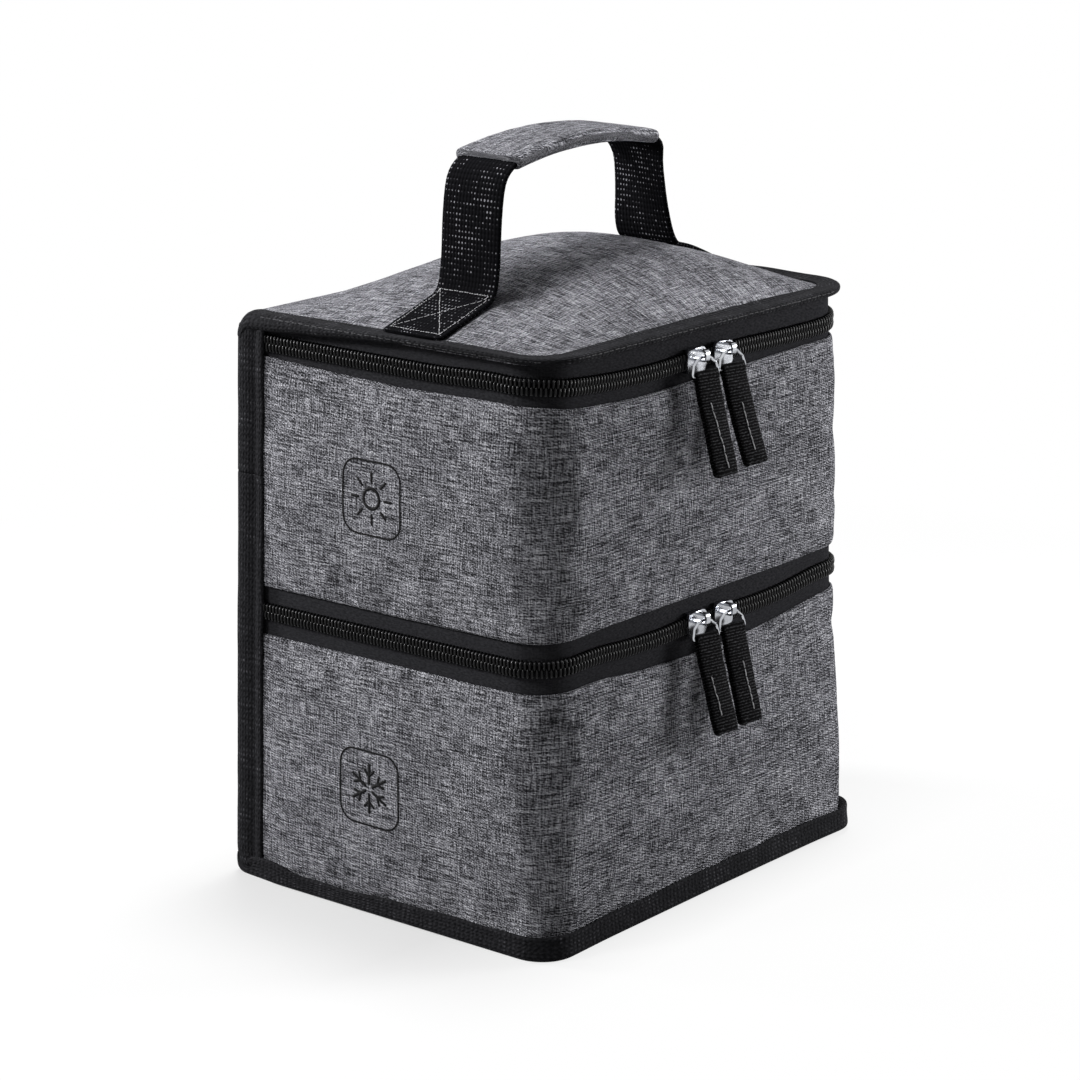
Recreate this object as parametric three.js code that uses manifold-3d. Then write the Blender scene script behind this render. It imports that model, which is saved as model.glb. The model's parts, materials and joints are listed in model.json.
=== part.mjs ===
// Insulated lunch bag with two compartments, one above the other.
// Millimetres. X runs along the front, Y from the front to the back, Z up.
// The origin is on the floor, under the middle of the bag.

import * as THREE from 'three';
import { mergeVertices } from 'three/addons/utils/BufferGeometryUtils.js';
import Module from 'manifold-3d';

const wasm = await Module();
wasm.setup();

// Body
const BOTTOM_WIDTH = 207;
const TOP_WIDTH = 199;
const BOTTOM_DEPTH = 168;
const TOP_DEPTH = 160;
const BODY_HEIGHT = 240;
const FRONT_CORNER_R = 19;
const BACK_CORNER_R = 5;
const SPINE_ROLL_R = 10;
const LID_CROWN = 23;
const LID_CROWN_POWER = 2.6;

// Cloth, foam, lining and tape
const CLOTH = 1.4;
const FOAM = 4.5;
const LINING = 0.8;
const ZIP_TAPE = 0.8;
const BASE_BOARD = 1.5;
const SEAT = 0.3;
const BINDING = 1.9;
const BINDING_WIDTH = 10;
const BOTTOM_BINDING_LIFT = 0.4;
const LID_BINDING_RISE = 1.5;
const LID_SKIRT = 5;

// Zips: the height of each chain and how much of its black tape shows
const LOWER_ZIP_Z = 117;
const LOWER_TAPE_BELOW = 11;
const LOWER_TAPE_ABOVE = 10;
const UPPER_ZIP_DROP = 12.5;
const UPPER_TAPE_BELOW = 8.5;
const UPPER_TAPE_ABOVE = 7;
const TAPE_SEAM = 8;
const FRONT_DIP = 3.2;
const FRONT_DIP_SPREAD = 23;
const CHAIN_GAP = 1.4;
const COIL_WIDTH = 2.6;
const COIL_PROUD = 0.6;
const HINGE_GAP = 0.6;

// Sliders and their pulls
const SLIDER_LENGTH = 12;
const SLIDER_TAIL_HEIGHT = 9.4;
const SLIDER_HEAD_HEIGHT = 10.6;
const SLIDER_PLATE = 1.2;
const SLIDER_POST_LENGTH = 3;
const LEFT_SLIDER_X = -8.5;
const RIGHT_SLIDER_X = 9;
const BRIDGE_LENGTH = 2.6;
const BRIDGE_HEIGHT = 4.8;
const BRIDGE_LIFT = 2.5;
const BRIDGE_RISE = 5.4;
const BRIDGE_BAR = 0.95;
const PULL_TWIST = 12;
const RING_WIRE = 1.2;
const RING_WIDTH = 13.3;
const RING_DROP = 7.2;
const RING_BEND_R = 6;
const RING_LEAN = 10;
const TAB_WIDTH = 11.4;
const TAB_LENGTH = 42;
const TAB_THICKNESS = 2.3;
const TAB_LEAN = 16;

// Carry handle
const WEBBING_WIDTH = 30;
const WEBBING = 2.4;
const HANDLE_Y = -9;
const HANDLE_SPAN = 116;
const HANDLE_TOP_Z = 305.5;
const HANDLE_BEND_R = 14;
const SLEEVE_LENGTH = 88;
const SLEEVE = 1.5;
const FOOT_EDGE_MARGIN = 3;

const ARC_STEPS = 6;
const ROLL_STEPS = 4;
const DOME_STEP = 30;

const UPPER_ZIP_Z = BODY_HEIGHT - UPPER_ZIP_DROP;
const BASE_TOP = LOWER_ZIP_Z - LOWER_TAPE_BELOW;
const UPPER_BOTTOM = LOWER_ZIP_Z + LOWER_TAPE_ABOVE;
const UPPER_TOP = UPPER_ZIP_Z - UPPER_TAPE_BELOW;
const LID_BOTTOM = UPPER_ZIP_Z + UPPER_TAPE_ABOVE;
const DOME_EDGE_Z = BODY_HEIGHT - 1;
const BACK_SEAM = BACK_CORNER_R + SEAT + BINDING_WIDTH / 2;
const TAPE_INSET = CLOTH + SEAT;
const FOAM_INSET = TAPE_INSET + ZIP_TAPE + SEAT;
const LINING_INSET = FOAM_INSET + FOAM + SEAT;

// Outline of the bag

const halfWidth = (z) => (BOTTOM_WIDTH + (TOP_WIDTH - BOTTOM_WIDTH) * z / BODY_HEIGHT) / 2;
const halfDepth = (z) => (BOTTOM_DEPTH + (TOP_DEPTH - BOTTOM_DEPTH) * z / BODY_HEIGHT) / 2;

// Heights above the bottom, and below the top edge, where the spine's roll has a ring.
const ROLL_RISES = Array.from({ length: ROLL_STEPS + 1 }, (_, i) =>
  SPINE_ROLL_R * (1 - Math.cos((Math.PI / 2) * i / ROLL_STEPS)));

// How far the back draws in where it rolls into the bottom and into the lid.
function spineRoll(z) {
  const rise = Math.max(0, Math.min(z, BODY_HEIGHT - z));
  if (rise >= ROLL_RISES.at(-1)) return 0;
  const exact = (h) => SPINE_ROLL_R - Math.sqrt(SPINE_ROLL_R ** 2 - (SPINE_ROLL_R - h) ** 2);
  const i = ROLL_RISES.findIndex((h) => h > rise) - 1;
  const [low, high] = [ROLL_RISES[i], ROLL_RISES[i + 1]];
  return THREE.MathUtils.mapLinear(rise, low, high, exact(low), exact(high));
}

const backEdge = (z) => halfDepth(z) - spineRoll(z);

function cornerArc(x, y, radius, from, to) {
  return Array.from({ length: ARC_STEPS + 1 }, (_, i) => {
    const a = THREE.MathUtils.degToRad(from + (to - from) * i / ARC_STEPS);
    return new THREE.Vector2(x + radius * Math.cos(a), y + radius * Math.sin(a));
  });
}

// Points along a side just behind its front corner, where the front's dip fades out.
function sideRun(x, start) {
  const fade = FRONT_DIP_SPREAD / 2;
  return [1, 2, 3].map((k) => new THREE.Vector2(x, start + fade * k / 3));
}

// Left side, front and right side, ending a given length short of the back.
function frontPath(z, inset, shortOfBack) {
  const w = halfWidth(z) - inset;
  const r = Math.max(FRONT_CORNER_R - inset, 1);
  const y = inset - halfDepth(z) + r;
  const end = backEdge(z) - shortOfBack;
  return [
    new THREE.Vector2(-w, end),
    ...sideRun(-w, y).reverse(),
    ...cornerArc(r - w, y, r, 180, 270),
    ...cornerArc(w - r, y, r, 270, 360),
    ...sideRun(w, y),
    new THREE.Vector2(w, end),
  ];
}

// The back with its two corners, starting the same length short of it on each side.
function backPath(z, inset, shortOfBack) {
  const w = halfWidth(z) - inset;
  const r = Math.max(BACK_CORNER_R - inset, 1);
  const y = backEdge(z) - inset - r;
  const end = backEdge(z) - shortOfBack;
  return [
    new THREE.Vector2(w, end),
    ...cornerArc(w - r, y, r, 0, 90),
    ...cornerArc(r - w, y, r, 90, 180),
    new THREE.Vector2(-w, end),
  ];
}

const planRing = (z, inset) => {
  const backs = backPath(z, inset, inset + Math.max(BACK_CORNER_R - inset, 1));
  return [...frontPath(z, inset, BACK_SEAM), ...backs];
};

// Heights from one level to another, with those between where the spine's roll needs a ring.
function levels(from, to) {
  const all = [...ROLL_RISES, ...ROLL_RISES.map((z) => BODY_HEIGHT - z)].sort((a, b) => a - b);
  return [from, ...all.filter((z) => z > from + 0.05 && z < to - 0.05), to];
}

// Closed bodies from rings

function closedGeometry(vertices, faces) {
  let volume = 0;
  const p = (i) => vertices[i];
  for (const [a, b, c] of faces) volume += p(a).dot(new THREE.Vector3().crossVectors(p(b), p(c)));
  const index = faces.flatMap(([a, b, c]) => (volume < 0 ? [a, c, b] : [a, b, c]));
  const geometry = new THREE.BufferGeometry();
  geometry.setAttribute('position', new THREE.Float32BufferAttribute(vertices.flatMap((v) => v.toArray()), 3));
  geometry.setIndex(index);
  return geometry;
}

// Four corners as two triangles, split along the higher diagonal so that stacked layers agree.
function split(vertices, a, b, c, d) {
  const z = (i) => vertices[i].z;
  return z(a) + z(c) > z(b) + z(d) - 1e-6 ? [[a, b, c], [a, c, d]] : [[b, c, d], [b, d, a]];
}

// Rings of equal length joined one after another. The first and the last are closed by
// a fan from their middle, or joined to each other where the body is a loop.
function loft(rings, { loop = false } = {}) {
  const n = rings[0].length;
  const vertices = rings.flat();
  const faces = [];
  const joins = loop ? rings.length : rings.length - 1;
  for (let i = 0; i < joins; i++) {
    const here = i * n;
    const next = ((i + 1) % rings.length) * n;
    for (let k = 0; k < n; k++) {
      const m = (k + 1) % n;
      faces.push(...split(vertices, here + k, here + m, next + m, next + k));
    }
  }
  const fan = (start, from, to) => {
    const middle = vertices.length;
    const sum = vertices.slice(start, start + n).reduce((a, v) => a.add(v), new THREE.Vector3());
    vertices.push(sum.divideScalar(n));
    for (let k = 0; k < n; k++) {
      const edge = [start + (k + from) % n, start + (k + to) % n];
      faces.push([middle, ...edge]);
    }
  };
  if (!loop) {
    fan(0, 1, 0);
    fan((rings.length - 1) * n, 0, 1);
  }
  return closedGeometry(vertices, faces);
}

// A sheet between two surfaces given as rows of points of equal length.
function slab(outer, inner) {
  const rows = outer.length;
  const n = outer[0].length;
  const vertices = [...outer.flat(), ...inner.flat()];
  const at = (side, i, k) => (side * rows + i) * n + k;
  const faces = [];
  const quad = (a, b, c, d) => faces.push([a, b, c], [a, c, d]);
  for (let i = 0; i + 1 < rows; i++) {
    for (let k = 0; k + 1 < n; k++) {
      quad(at(0, i, k), at(0, i, k + 1), at(0, i + 1, k + 1), at(0, i + 1, k));
      quad(at(1, i, k), at(1, i + 1, k), at(1, i + 1, k + 1), at(1, i, k + 1));
    }
    quad(at(0, i, 0), at(0, i + 1, 0), at(1, i + 1, 0), at(1, i, 0));
    quad(at(0, i, n - 1), at(1, i, n - 1), at(1, i + 1, n - 1), at(0, i + 1, n - 1));
  }
  for (let k = 0; k + 1 < n; k++) {
    quad(at(0, 0, k), at(1, 0, k), at(1, 0, k + 1), at(0, 0, k + 1));
    quad(at(0, rows - 1, k), at(0, rows - 1, k + 1), at(1, rows - 1, k + 1), at(1, rows - 1, k));
  }
  return closedGeometry(vertices, faces);
}

const lift = (ring, z) => ring.map((p) => new THREE.Vector3(p.x, p.y, z));

// A band of cloth or tape that follows a path round the bag.
function ribbon(path, outer, inner, from, to, shortOfBack) {
  const rows = (inset) => levels(from, to).map((z) => lift(path(z, inset, shortOfBack), z));
  return slab(rows(outer), rows(inner));
}

const plate = (inset, from, to) => loft(levels(from, to).map((z) => lift(planRing(z, inset), z)));

// An open-topped tub. A lip, if any, runs outwards over what the tub stands in.
function tub(inset, wall, floor, from, to, lipInset = inset) {
  const outside = levels(from, to - (lipInset < inset ? wall : 0)).map((z) => lift(planRing(z, inset), z));
  const lip = lipInset < inset
    ? [lift(planRing(to - wall, lipInset), to - wall), lift(planRing(to, lipInset), to)]
    : [];
  const inside = levels(from + floor, to).reverse().map((z) => lift(planRing(z, inset + wall), z));
  return loft([...outside, ...lip, ...inside]);
}

// The front of the bag hangs a little lower than its sides around the upper zip.
function dip(geometry) {
  const position = geometry.getAttribute('position');
  const chainTop = UPPER_ZIP_Z + CHAIN_GAP / 2 + COIL_WIDTH;
  for (let i = 0; i < position.count; i++) {
    const y = position.getY(i);
    const z = position.getZ(i);
    const fall = THREE.MathUtils.clamp((z - UPPER_BOTTOM) / (UPPER_TOP - UPPER_BOTTOM), 0, 1);
    const hold = THREE.MathUtils.clamp((LID_BOTTOM - z) / (LID_BOTTOM - chainTop), 0, 1);
    const start = FRONT_CORNER_R / 2 - halfDepth(z);
    const front = 1 - THREE.MathUtils.smoothstep(y, start, start + FRONT_DIP_SPREAD);
    position.setZ(i, z - FRONT_DIP * fall * hold * front);
  }
  return geometry;
}

// Solids for cutting and joining

function solidOf(geometry) {
  const plain = geometry.clone();
  plain.deleteAttribute('normal');
  plain.deleteAttribute('uv');
  const merged = mergeVertices(plain, 1e-5);
  return new wasm.Manifold(new wasm.Mesh({
    numProp: 3,
    vertProperties: new Float32Array(merged.getAttribute('position').array),
    triVerts: new Uint32Array(merged.getIndex().array),
  }));
}

function geometryOf(solid) {
  const mesh = solid.getMesh();
  const geometry = new THREE.BufferGeometry();
  geometry.setAttribute('position', new THREE.Float32BufferAttribute(mesh.vertProperties, 3));
  geometry.setIndex(Array.from(mesh.triVerts));
  return geometry;
}

const joined = (...geometries) => geometryOf(geometries.map(solidOf).reduce((a, b) => a.add(b)));

// Extrudes a shape drawn in (X, Z) along Y, centred on a given Y.
function alongY(shape, width, y, curveSegments = 6) {
  const geometry = new THREE.ExtrudeGeometry(shape, { depth: width, bevelEnabled: false, curveSegments });
  return geometry.rotateX(Math.PI / 2).translate(0, y + width / 2, 0);
}

// Extrudes a shape drawn in (Y, Z) along X, centred on a given X.
function alongX(shape, length, x, curveSegments = 6) {
  const geometry = new THREE.ExtrudeGeometry(shape, { depth: length, bevelEnabled: false, curveSegments });
  const basis = new THREE.Matrix4().makeBasis(
    new THREE.Vector3(0, 1, 0), new THREE.Vector3(0, 0, 1), new THREE.Vector3(1, 0, 0));
  return geometry.applyMatrix4(basis).translate(x - length / 2, 0, 0);
}

function rectangle(x0, y0, x1, y1, r = 0) {
  const s = new THREE.Shape();
  if (r === 0) {
    s.moveTo(x0, y0).lineTo(x1, y0).lineTo(x1, y1).lineTo(x0, y1).closePath();
    return s;
  }
  s.moveTo(x0 + r, y0);
  s.absarc(x1 - r, y0 + r, r, -Math.PI / 2, 0);
  s.absarc(x1 - r, y1 - r, r, 0, Math.PI / 2);
  s.absarc(x0 + r, y1 - r, r, Math.PI / 2, Math.PI);
  s.absarc(x0 + r, y0 + r, r, Math.PI, 1.5 * Math.PI);
  return s;
}

// Materials

const finish = (color, roughness, metalness = 0) => new THREE.MeshStandardMaterial({ color, roughness, metalness });
const heather = () => finish(0x77777b, 0.95);
const blackTape = () => finish(0x1b1b1d, 0.85);
const foam = () => finish(0xe9e9e6, 0.9);
const foil = () => finish(0xc9ccd0, 0.4, 0.4);
const board = () => finish(0x2a2a2c, 0.7);
const chrome = () => finish(0xd8d8dc, 0.18, 1);
const coilPlastic = () => finish(0x141416, 0.45);

const bag = new THREE.Group();

function addPart(name, geometry, material) {
  const mesh = new THREE.Mesh(geometry, material);
  mesh.name = name;
  bag.add(mesh);
  return mesh;
}

// Base: the lower compartment

const spineBack = (from, to) => ribbon(backPath, 0, CLOTH, from, to, BACK_SEAM - SEAT / 2);

function basePanel() {
  const bottom = plate(0, 0, CLOTH);
  return joined(bottom, spineBack(CLOTH / 2, LOWER_ZIP_Z - HINGE_GAP / 2));
}

const binding = (from, to) => {
  const strip = (side) => {
    const rings = levels(from, to).map((z) => {
      const near = backEdge(z) - BACK_SEAM + BINDING_WIDTH / 2;
      const x0 = side * (halfWidth(z) + SEAT);
      const x1 = side * (halfWidth(z) + SEAT + BINDING);
      return [[x0, near], [x1, near], [x1, near - BINDING_WIDTH], [x0, near - BINDING_WIDTH]]
        .map(([x, y]) => new THREE.Vector3(x, y, z));
    });
    return loft(rings);
  };
  return [strip(-1), strip(1)];
};

const edgeBinding = (from, to) =>
  ribbon(frontPath, -SEAT - BINDING, -SEAT, from, to, BACK_SEAM - BINDING_WIDTH / 2);

addPart('base_panel', basePanel(), heather());
addPart('base_wrap', ribbon(frontPath, 0, CLOTH, CLOTH + SEAT, BASE_TOP, BACK_SEAM + SEAT / 2), heather());
const bottomEdge = [BOTTOM_BINDING_LIFT, BOTTOM_BINDING_LIFT + BINDING_WIDTH];
addPart('base_binding', joined(
  edgeBinding(...bottomEdge),
  ...binding(BOTTOM_BINDING_LIFT, LOWER_ZIP_Z - HINGE_GAP / 2),
), blackTape());
const boardTop = CLOTH + SEAT + BASE_BOARD;
addPart('base_board', plate(FOAM_INSET, CLOTH + SEAT, boardTop), board());
const baseFoamTop = BASE_TOP - 2 * SEAT - LINING;
addPart('base_foam', tub(FOAM_INSET, FOAM, FOAM, boardTop + SEAT, baseFoamTop), foam());
const baseLiningBottom = boardTop + 2 * SEAT + FOAM;
addPart('base_lining',
  tub(LINING_INSET, LINING, LINING, baseLiningBottom, baseFoamTop + SEAT + LINING, FOAM_INSET), foil());

// Zips: each chain has a tape and a coil on either side of its centre line

const tape = (from, to) => ribbon(frontPath, TAPE_INSET, TAPE_INSET + ZIP_TAPE, from, to, BACK_SEAM + SEAT / 2);
const coil = (from, to) => ribbon(frontPath, -COIL_PROUD, TAPE_INSET - SEAT, from, to,
  BACK_SEAM + BINDING_WIDTH / 2 + SEAT);

function zipHalf(name, chainZ, side, reach) {
  const near = chainZ + side * CHAIN_GAP / 2;
  const between = (a, b) => [Math.min(a, b), Math.max(a, b)];
  addPart(`${name}_tape`, dip(tape(...between(near, chainZ + side * reach))), blackTape());
  addPart(`${name}_coil`, dip(coil(...between(near, near + side * COIL_WIDTH))), coilPlastic());
}

zipHalf('lower_zip_bottom', LOWER_ZIP_Z, -1, LOWER_TAPE_BELOW + TAPE_SEAM);
zipHalf('lower_zip_top', LOWER_ZIP_Z, 1, LOWER_TAPE_ABOVE + TAPE_SEAM);
zipHalf('upper_zip_bottom', UPPER_ZIP_Z, -1, UPPER_TAPE_BELOW + TAPE_SEAM);
zipHalf('upper_zip_top', UPPER_ZIP_Z, 1, DOME_EDGE_Z - CLOTH - SEAT - UPPER_ZIP_Z);

// Upper compartment

addPart('upper_back_panel', spineBack(LOWER_ZIP_Z + HINGE_GAP / 2, UPPER_ZIP_Z - HINGE_GAP / 2), heather());
addPart('upper_wrap', dip(ribbon(frontPath, 0, CLOTH, UPPER_BOTTOM, UPPER_TOP, BACK_SEAM + SEAT / 2)), heather());
const [upperBindingLeft, upperBindingRight] = binding(LOWER_ZIP_Z + HINGE_GAP / 2, UPPER_ZIP_Z - HINGE_GAP / 2);
addPart('upper_binding_left', upperBindingLeft, blackTape());
addPart('upper_binding_right', upperBindingRight, blackTape());
addPart('divider_lining', plate(FOAM_INSET, UPPER_BOTTOM - LINING, UPPER_BOTTOM), foil());
const upperFoamTop = UPPER_TOP - 2 * SEAT - LINING;
addPart('upper_foam', dip(tub(FOAM_INSET, FOAM, FOAM, UPPER_BOTTOM + SEAT, upperFoamTop)), foam());
const upperLiningBottom = UPPER_BOTTOM + 2 * SEAT + FOAM;
addPart('upper_lining', dip(
  tub(LINING_INSET, LINING, LINING, upperLiningBottom, upperFoamTop + SEAT + LINING, FOAM_INSET)), foil());

// Lid

const DOME_RINGS = [1, 0.97, 0.9, 0.78, 0.62, 0.42, 0.2];
const domeMiddle = (backEdge(DOME_EDGE_Z) - halfDepth(DOME_EDGE_Z)) / 2;
const domeHalf = (backEdge(DOME_EDGE_Z) + halfDepth(DOME_EDGE_Z)) / 2;

// How far the lid rises above its edge at a given point.
function crownAt(x, y) {
  const fall = (t) => 1 - Math.min(1, Math.abs(t)) ** LID_CROWN_POWER;
  return LID_CROWN * fall(x / halfWidth(DOME_EDGE_Z)) * fall((y - domeMiddle) / domeHalf);
}

// The same ring with points added along its long straight runs.
function denser(ring) {
  const plain = planRing(DOME_EDGE_Z, 0);
  return ring.flatMap((p, i) => {
    const next = (i + 1) % ring.length;
    const parts = Math.ceil(plain[i].distanceTo(plain[next]) / DOME_STEP);
    return Array.from({ length: parts }, (_, k) => p.clone().lerp(ring[next], k / parts));
  });
}

function domeRing(s, inset, z) {
  return denser(planRing(DOME_EDGE_Z, inset)).map((p) => {
    const x = p.x * s;
    const y = domeMiddle + (p.y - domeMiddle) * s;
    return new THREE.Vector3(x, y, z + crownAt(x, y));
  });
}

// A domed layer between two heights at its edge.
function domeLayer(inset, thickness, edgeTop) {
  const under = [...DOME_RINGS].reverse().map((s) => domeRing(s, inset, edgeTop - thickness));
  const over = DOME_RINGS.map((s) => domeRing(s, inset, edgeTop));
  return loft([...under, ...over]);
}

function lidPanel() {
  const skirt = DOME_EDGE_Z - LID_SKIRT;
  const walls = (inset, top) => levels(skirt, top).slice(0, -1).map((z) => lift(denser(planRing(z, inset)), z));
  const inside = [
    ...[...DOME_RINGS].reverse().map((s) => domeRing(s, CLOTH, DOME_EDGE_Z - CLOTH)),
    ...walls(CLOTH, DOME_EDGE_Z - CLOTH).reverse(),
  ];
  const outside = [
    ...walls(0, DOME_EDGE_Z),
    ...DOME_RINGS.map((s) => domeRing(s, 0, DOME_EDGE_Z)),
  ];
  return joined(loft([...inside, ...outside]), spineBack(UPPER_ZIP_Z + HINGE_GAP / 2, skirt + LID_SKIRT / 2));
}

addPart('lid_panel', lidPanel(), heather());
addPart('lid_binding', joined(
  edgeBinding(LID_BOTTOM, BODY_HEIGHT + LID_BINDING_RISE),
  ...binding(UPPER_ZIP_Z + HINGE_GAP / 2, LID_BOTTOM + BINDING),
), blackTape());
const lidFoamTop = DOME_EDGE_Z - CLOTH - SEAT;
addPart('lid_foam', domeLayer(FOAM_INSET, FOAM, lidFoamTop), foam());
addPart('lid_lining', domeLayer(FOAM_INSET, LINING, lidFoamTop - FOAM - SEAT), foil());

// Carry handle: webbing sewn flat on the lid at each side, standing up in an arch

const lidTopAt = (x) => DOME_EDGE_Z + crownAt(x, domeMiddle);

function handleFoot(side) {
  const edge = halfWidth(DOME_EDGE_Z);
  const inner = HANDLE_SPAN / 2 - WEBBING / 2;
  const outer = edge - FOOT_EDGE_MARGIN;
  const stops = DOME_RINGS.map((s) => s * edge).filter((x) => x > inner + 1 && x < outer - 1);
  const facetTop = (x) => {
    const i = Math.max(1, DOME_RINGS.findIndex((s) => s * edge <= x + 1e-6));
    const [far, near] = [DOME_RINGS[i - 1] * edge, DOME_RINGS[i] * edge];
    return THREE.MathUtils.mapLinear(x, near, far, lidTopAt(near), lidTopAt(far));
  };
  const edgeLine = (rise) => [outer, ...stops, inner].map((x) => new THREE.Vector2(side * x, facetTop(x) + rise));
  const shape = new THREE.Shape([...edgeLine(SEAT), ...edgeLine(SEAT + WEBBING).reverse()]);
  return alongY(shape, WEBBING_WIDTH, HANDLE_Y);
}

addPart('handle_foot_left', handleFoot(-1), blackTape());
addPart('handle_foot_right', handleFoot(1), blackTape());

const footTop = lidTopAt(HANDLE_SPAN / 2 - WEBBING / 2) + SEAT + WEBBING;
const HANDLE_AXIS_Z = footTop + SEAT + WEBBING_WIDTH / 2;

// The arch's edge line at a given distance from the webbing's middle, from one end to the other.
function archEdge(offset) {
  const x = HANDLE_SPAN / 2 + offset;
  const r = HANDLE_BEND_R + offset;
  const top = HANDLE_TOP_Z + offset;
  const low = HANDLE_AXIS_Z - WEBBING_WIDTH;
  return [
    new THREE.Vector2(x, low),
    ...cornerArc(x - r, top - r, r, 0, 90),
    ...cornerArc(r - x, top - r, r, 90, 180),
    new THREE.Vector2(-x, low),
  ];
}

function handleWebbing() {
  const arch = alongY(new THREE.Shape([...archEdge(WEBBING / 2), ...archEdge(-WEBBING / 2).reverse()]),
    WEBBING_WIDTH, HANDLE_Y);
  const half = WEBBING_WIDTH / 2;
  const outline = new THREE.Shape();
  outline.moveTo(HANDLE_Y + half, HANDLE_TOP_Z + WEBBING_WIDTH);
  outline.lineTo(HANDLE_Y - half, HANDLE_TOP_Z + WEBBING_WIDTH);
  outline.absarc(HANDLE_Y, HANDLE_AXIS_Z, half, Math.PI, 2 * Math.PI);
  const keep = alongX(outline, 2 * HANDLE_SPAN, 0, 14);
  return geometryOf(solidOf(arch).intersect(solidOf(keep)));
}

function handleSleeve() {
  const halfWide = WEBBING_WIDTH / 2 + SEAT;
  const halfThick = WEBBING / 2 + SEAT;
  const outside = rectangle(HANDLE_Y - halfWide - SLEEVE, HANDLE_TOP_Z - halfThick - SLEEVE,
    HANDLE_Y + halfWide + SLEEVE, HANDLE_TOP_Z + halfThick + SLEEVE, halfThick + SLEEVE - 0.2);
  outside.holes.push(rectangle(HANDLE_Y - halfWide, HANDLE_TOP_Z - halfThick,
    HANDLE_Y + halfWide, HANDLE_TOP_Z + halfThick, 0));
  return alongX(outside, SLEEVE_LENGTH, 0, 4);
}

addPart('handle_webbing', handleWebbing(), blackTape());
addPart('handle_sleeve', handleSleeve(), heather());

// Sliders. Each is drawn with its head towards +X, its chain along X at z = 0
// and the bag's face at y = 0, with the outside at -Y.

const COIL_EDGE = CHAIN_GAP / 2 + COIL_WIDTH;
const FRONT_PLATE_Y = -(COIL_PROUD + SEAT);
const PULL_AXIS_Y = FRONT_PLATE_Y - SLIDER_PLATE - BRIDGE_RISE + BRIDGE_BAR + RING_WIRE;
const PULL_AXIS_Z = BRIDGE_LIFT - (BRIDGE_HEIGHT / 2 - BRIDGE_BAR - RING_WIRE / 2 - SEAT);

function sliderPlate(y0, y1) {
  const l = SLIDER_LENGTH / 2;
  const tail = SLIDER_TAIL_HEIGHT / 2;
  const head = SLIDER_HEAD_HEIGHT / 2;
  const r = 1.6;
  const s = new THREE.Shape();
  s.moveTo(-l + r, -tail);
  s.lineTo(l - 2 * r, -head);
  s.quadraticCurveTo(l, -head, l, -head + 2 * r);
  s.lineTo(l, head - 2 * r);
  s.quadraticCurveTo(l, head, l - 2 * r, head);
  s.lineTo(-l + r, tail);
  s.quadraticCurveTo(-l, tail, -l, tail - r);
  s.lineTo(-l, -tail + r);
  s.quadraticCurveTo(-l, -tail, -l + r, -tail);
  return alongY(s, Math.abs(y1 - y0), (y0 + y1) / 2, 3);
}

function sliderBody() {
  const front = sliderPlate(FRONT_PLATE_Y - SLIDER_PLATE, FRONT_PLATE_Y);
  const backNear = TAPE_INSET + ZIP_TAPE + SEAT;
  const back = sliderPlate(backNear, backNear + SLIDER_PLATE);
  const head = SLIDER_LENGTH / 2 - SLIDER_POST_LENGTH / 2 - 1;
  const slim = CHAIN_GAP / 2 - SEAT;
  const postLength = backNear + SLIDER_PLATE / 2 - FRONT_PLATE_Y + SLIDER_PLATE / 2;
  const post = alongY(rectangle(head - SLIDER_POST_LENGTH / 2, -slim, head + SLIDER_POST_LENGTH / 2, slim),
    postLength, FRONT_PLATE_Y - SLIDER_PLATE / 2 + postLength / 2);
  const flangeReach = TAPE_INSET - SEAT;
  const flange = (side) => {
    const z0 = side * (COIL_EDGE + SEAT);
    const z1 = side * SLIDER_TAIL_HEIGHT / 2;
    const l = SLIDER_LENGTH / 2;
    const shape = rectangle(-l + 1.2, Math.min(z0, z1), l - 2.6, Math.max(z0, z1));
    const deep = flangeReach - FRONT_PLATE_Y + SLIDER_PLATE / 2;
    return alongY(shape, deep, flangeReach - deep / 2);
  };
  const low = BRIDGE_LIFT - BRIDGE_HEIGHT / 2;
  const high = BRIDGE_LIFT + BRIDGE_HEIGHT / 2;
  const foot = FRONT_PLATE_Y - SLIDER_PLATE / 2;
  const top = FRONT_PLATE_Y - SLIDER_PLATE - BRIDGE_RISE;
  const arch = new THREE.Shape();
  arch.moveTo(foot, low);
  arch.lineTo(foot, high);
  arch.lineTo(top + 1.6, high);
  arch.quadraticCurveTo(top, high, top, high - 1.6);
  arch.lineTo(top, low + 1.6);
  arch.quadraticCurveTo(top, low, top + 1.6, low);
  arch.closePath();
  const eye = rectangle(top + BRIDGE_BAR, low + BRIDGE_BAR, FRONT_PLATE_Y - SLIDER_PLATE, high - BRIDGE_BAR);
  arch.holes.push(eye);
  const bridge = alongX(arch, BRIDGE_LENGTH, 0, 4);
  return joined(front, back, post, flange(-1), flange(1), bridge);
}

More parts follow.
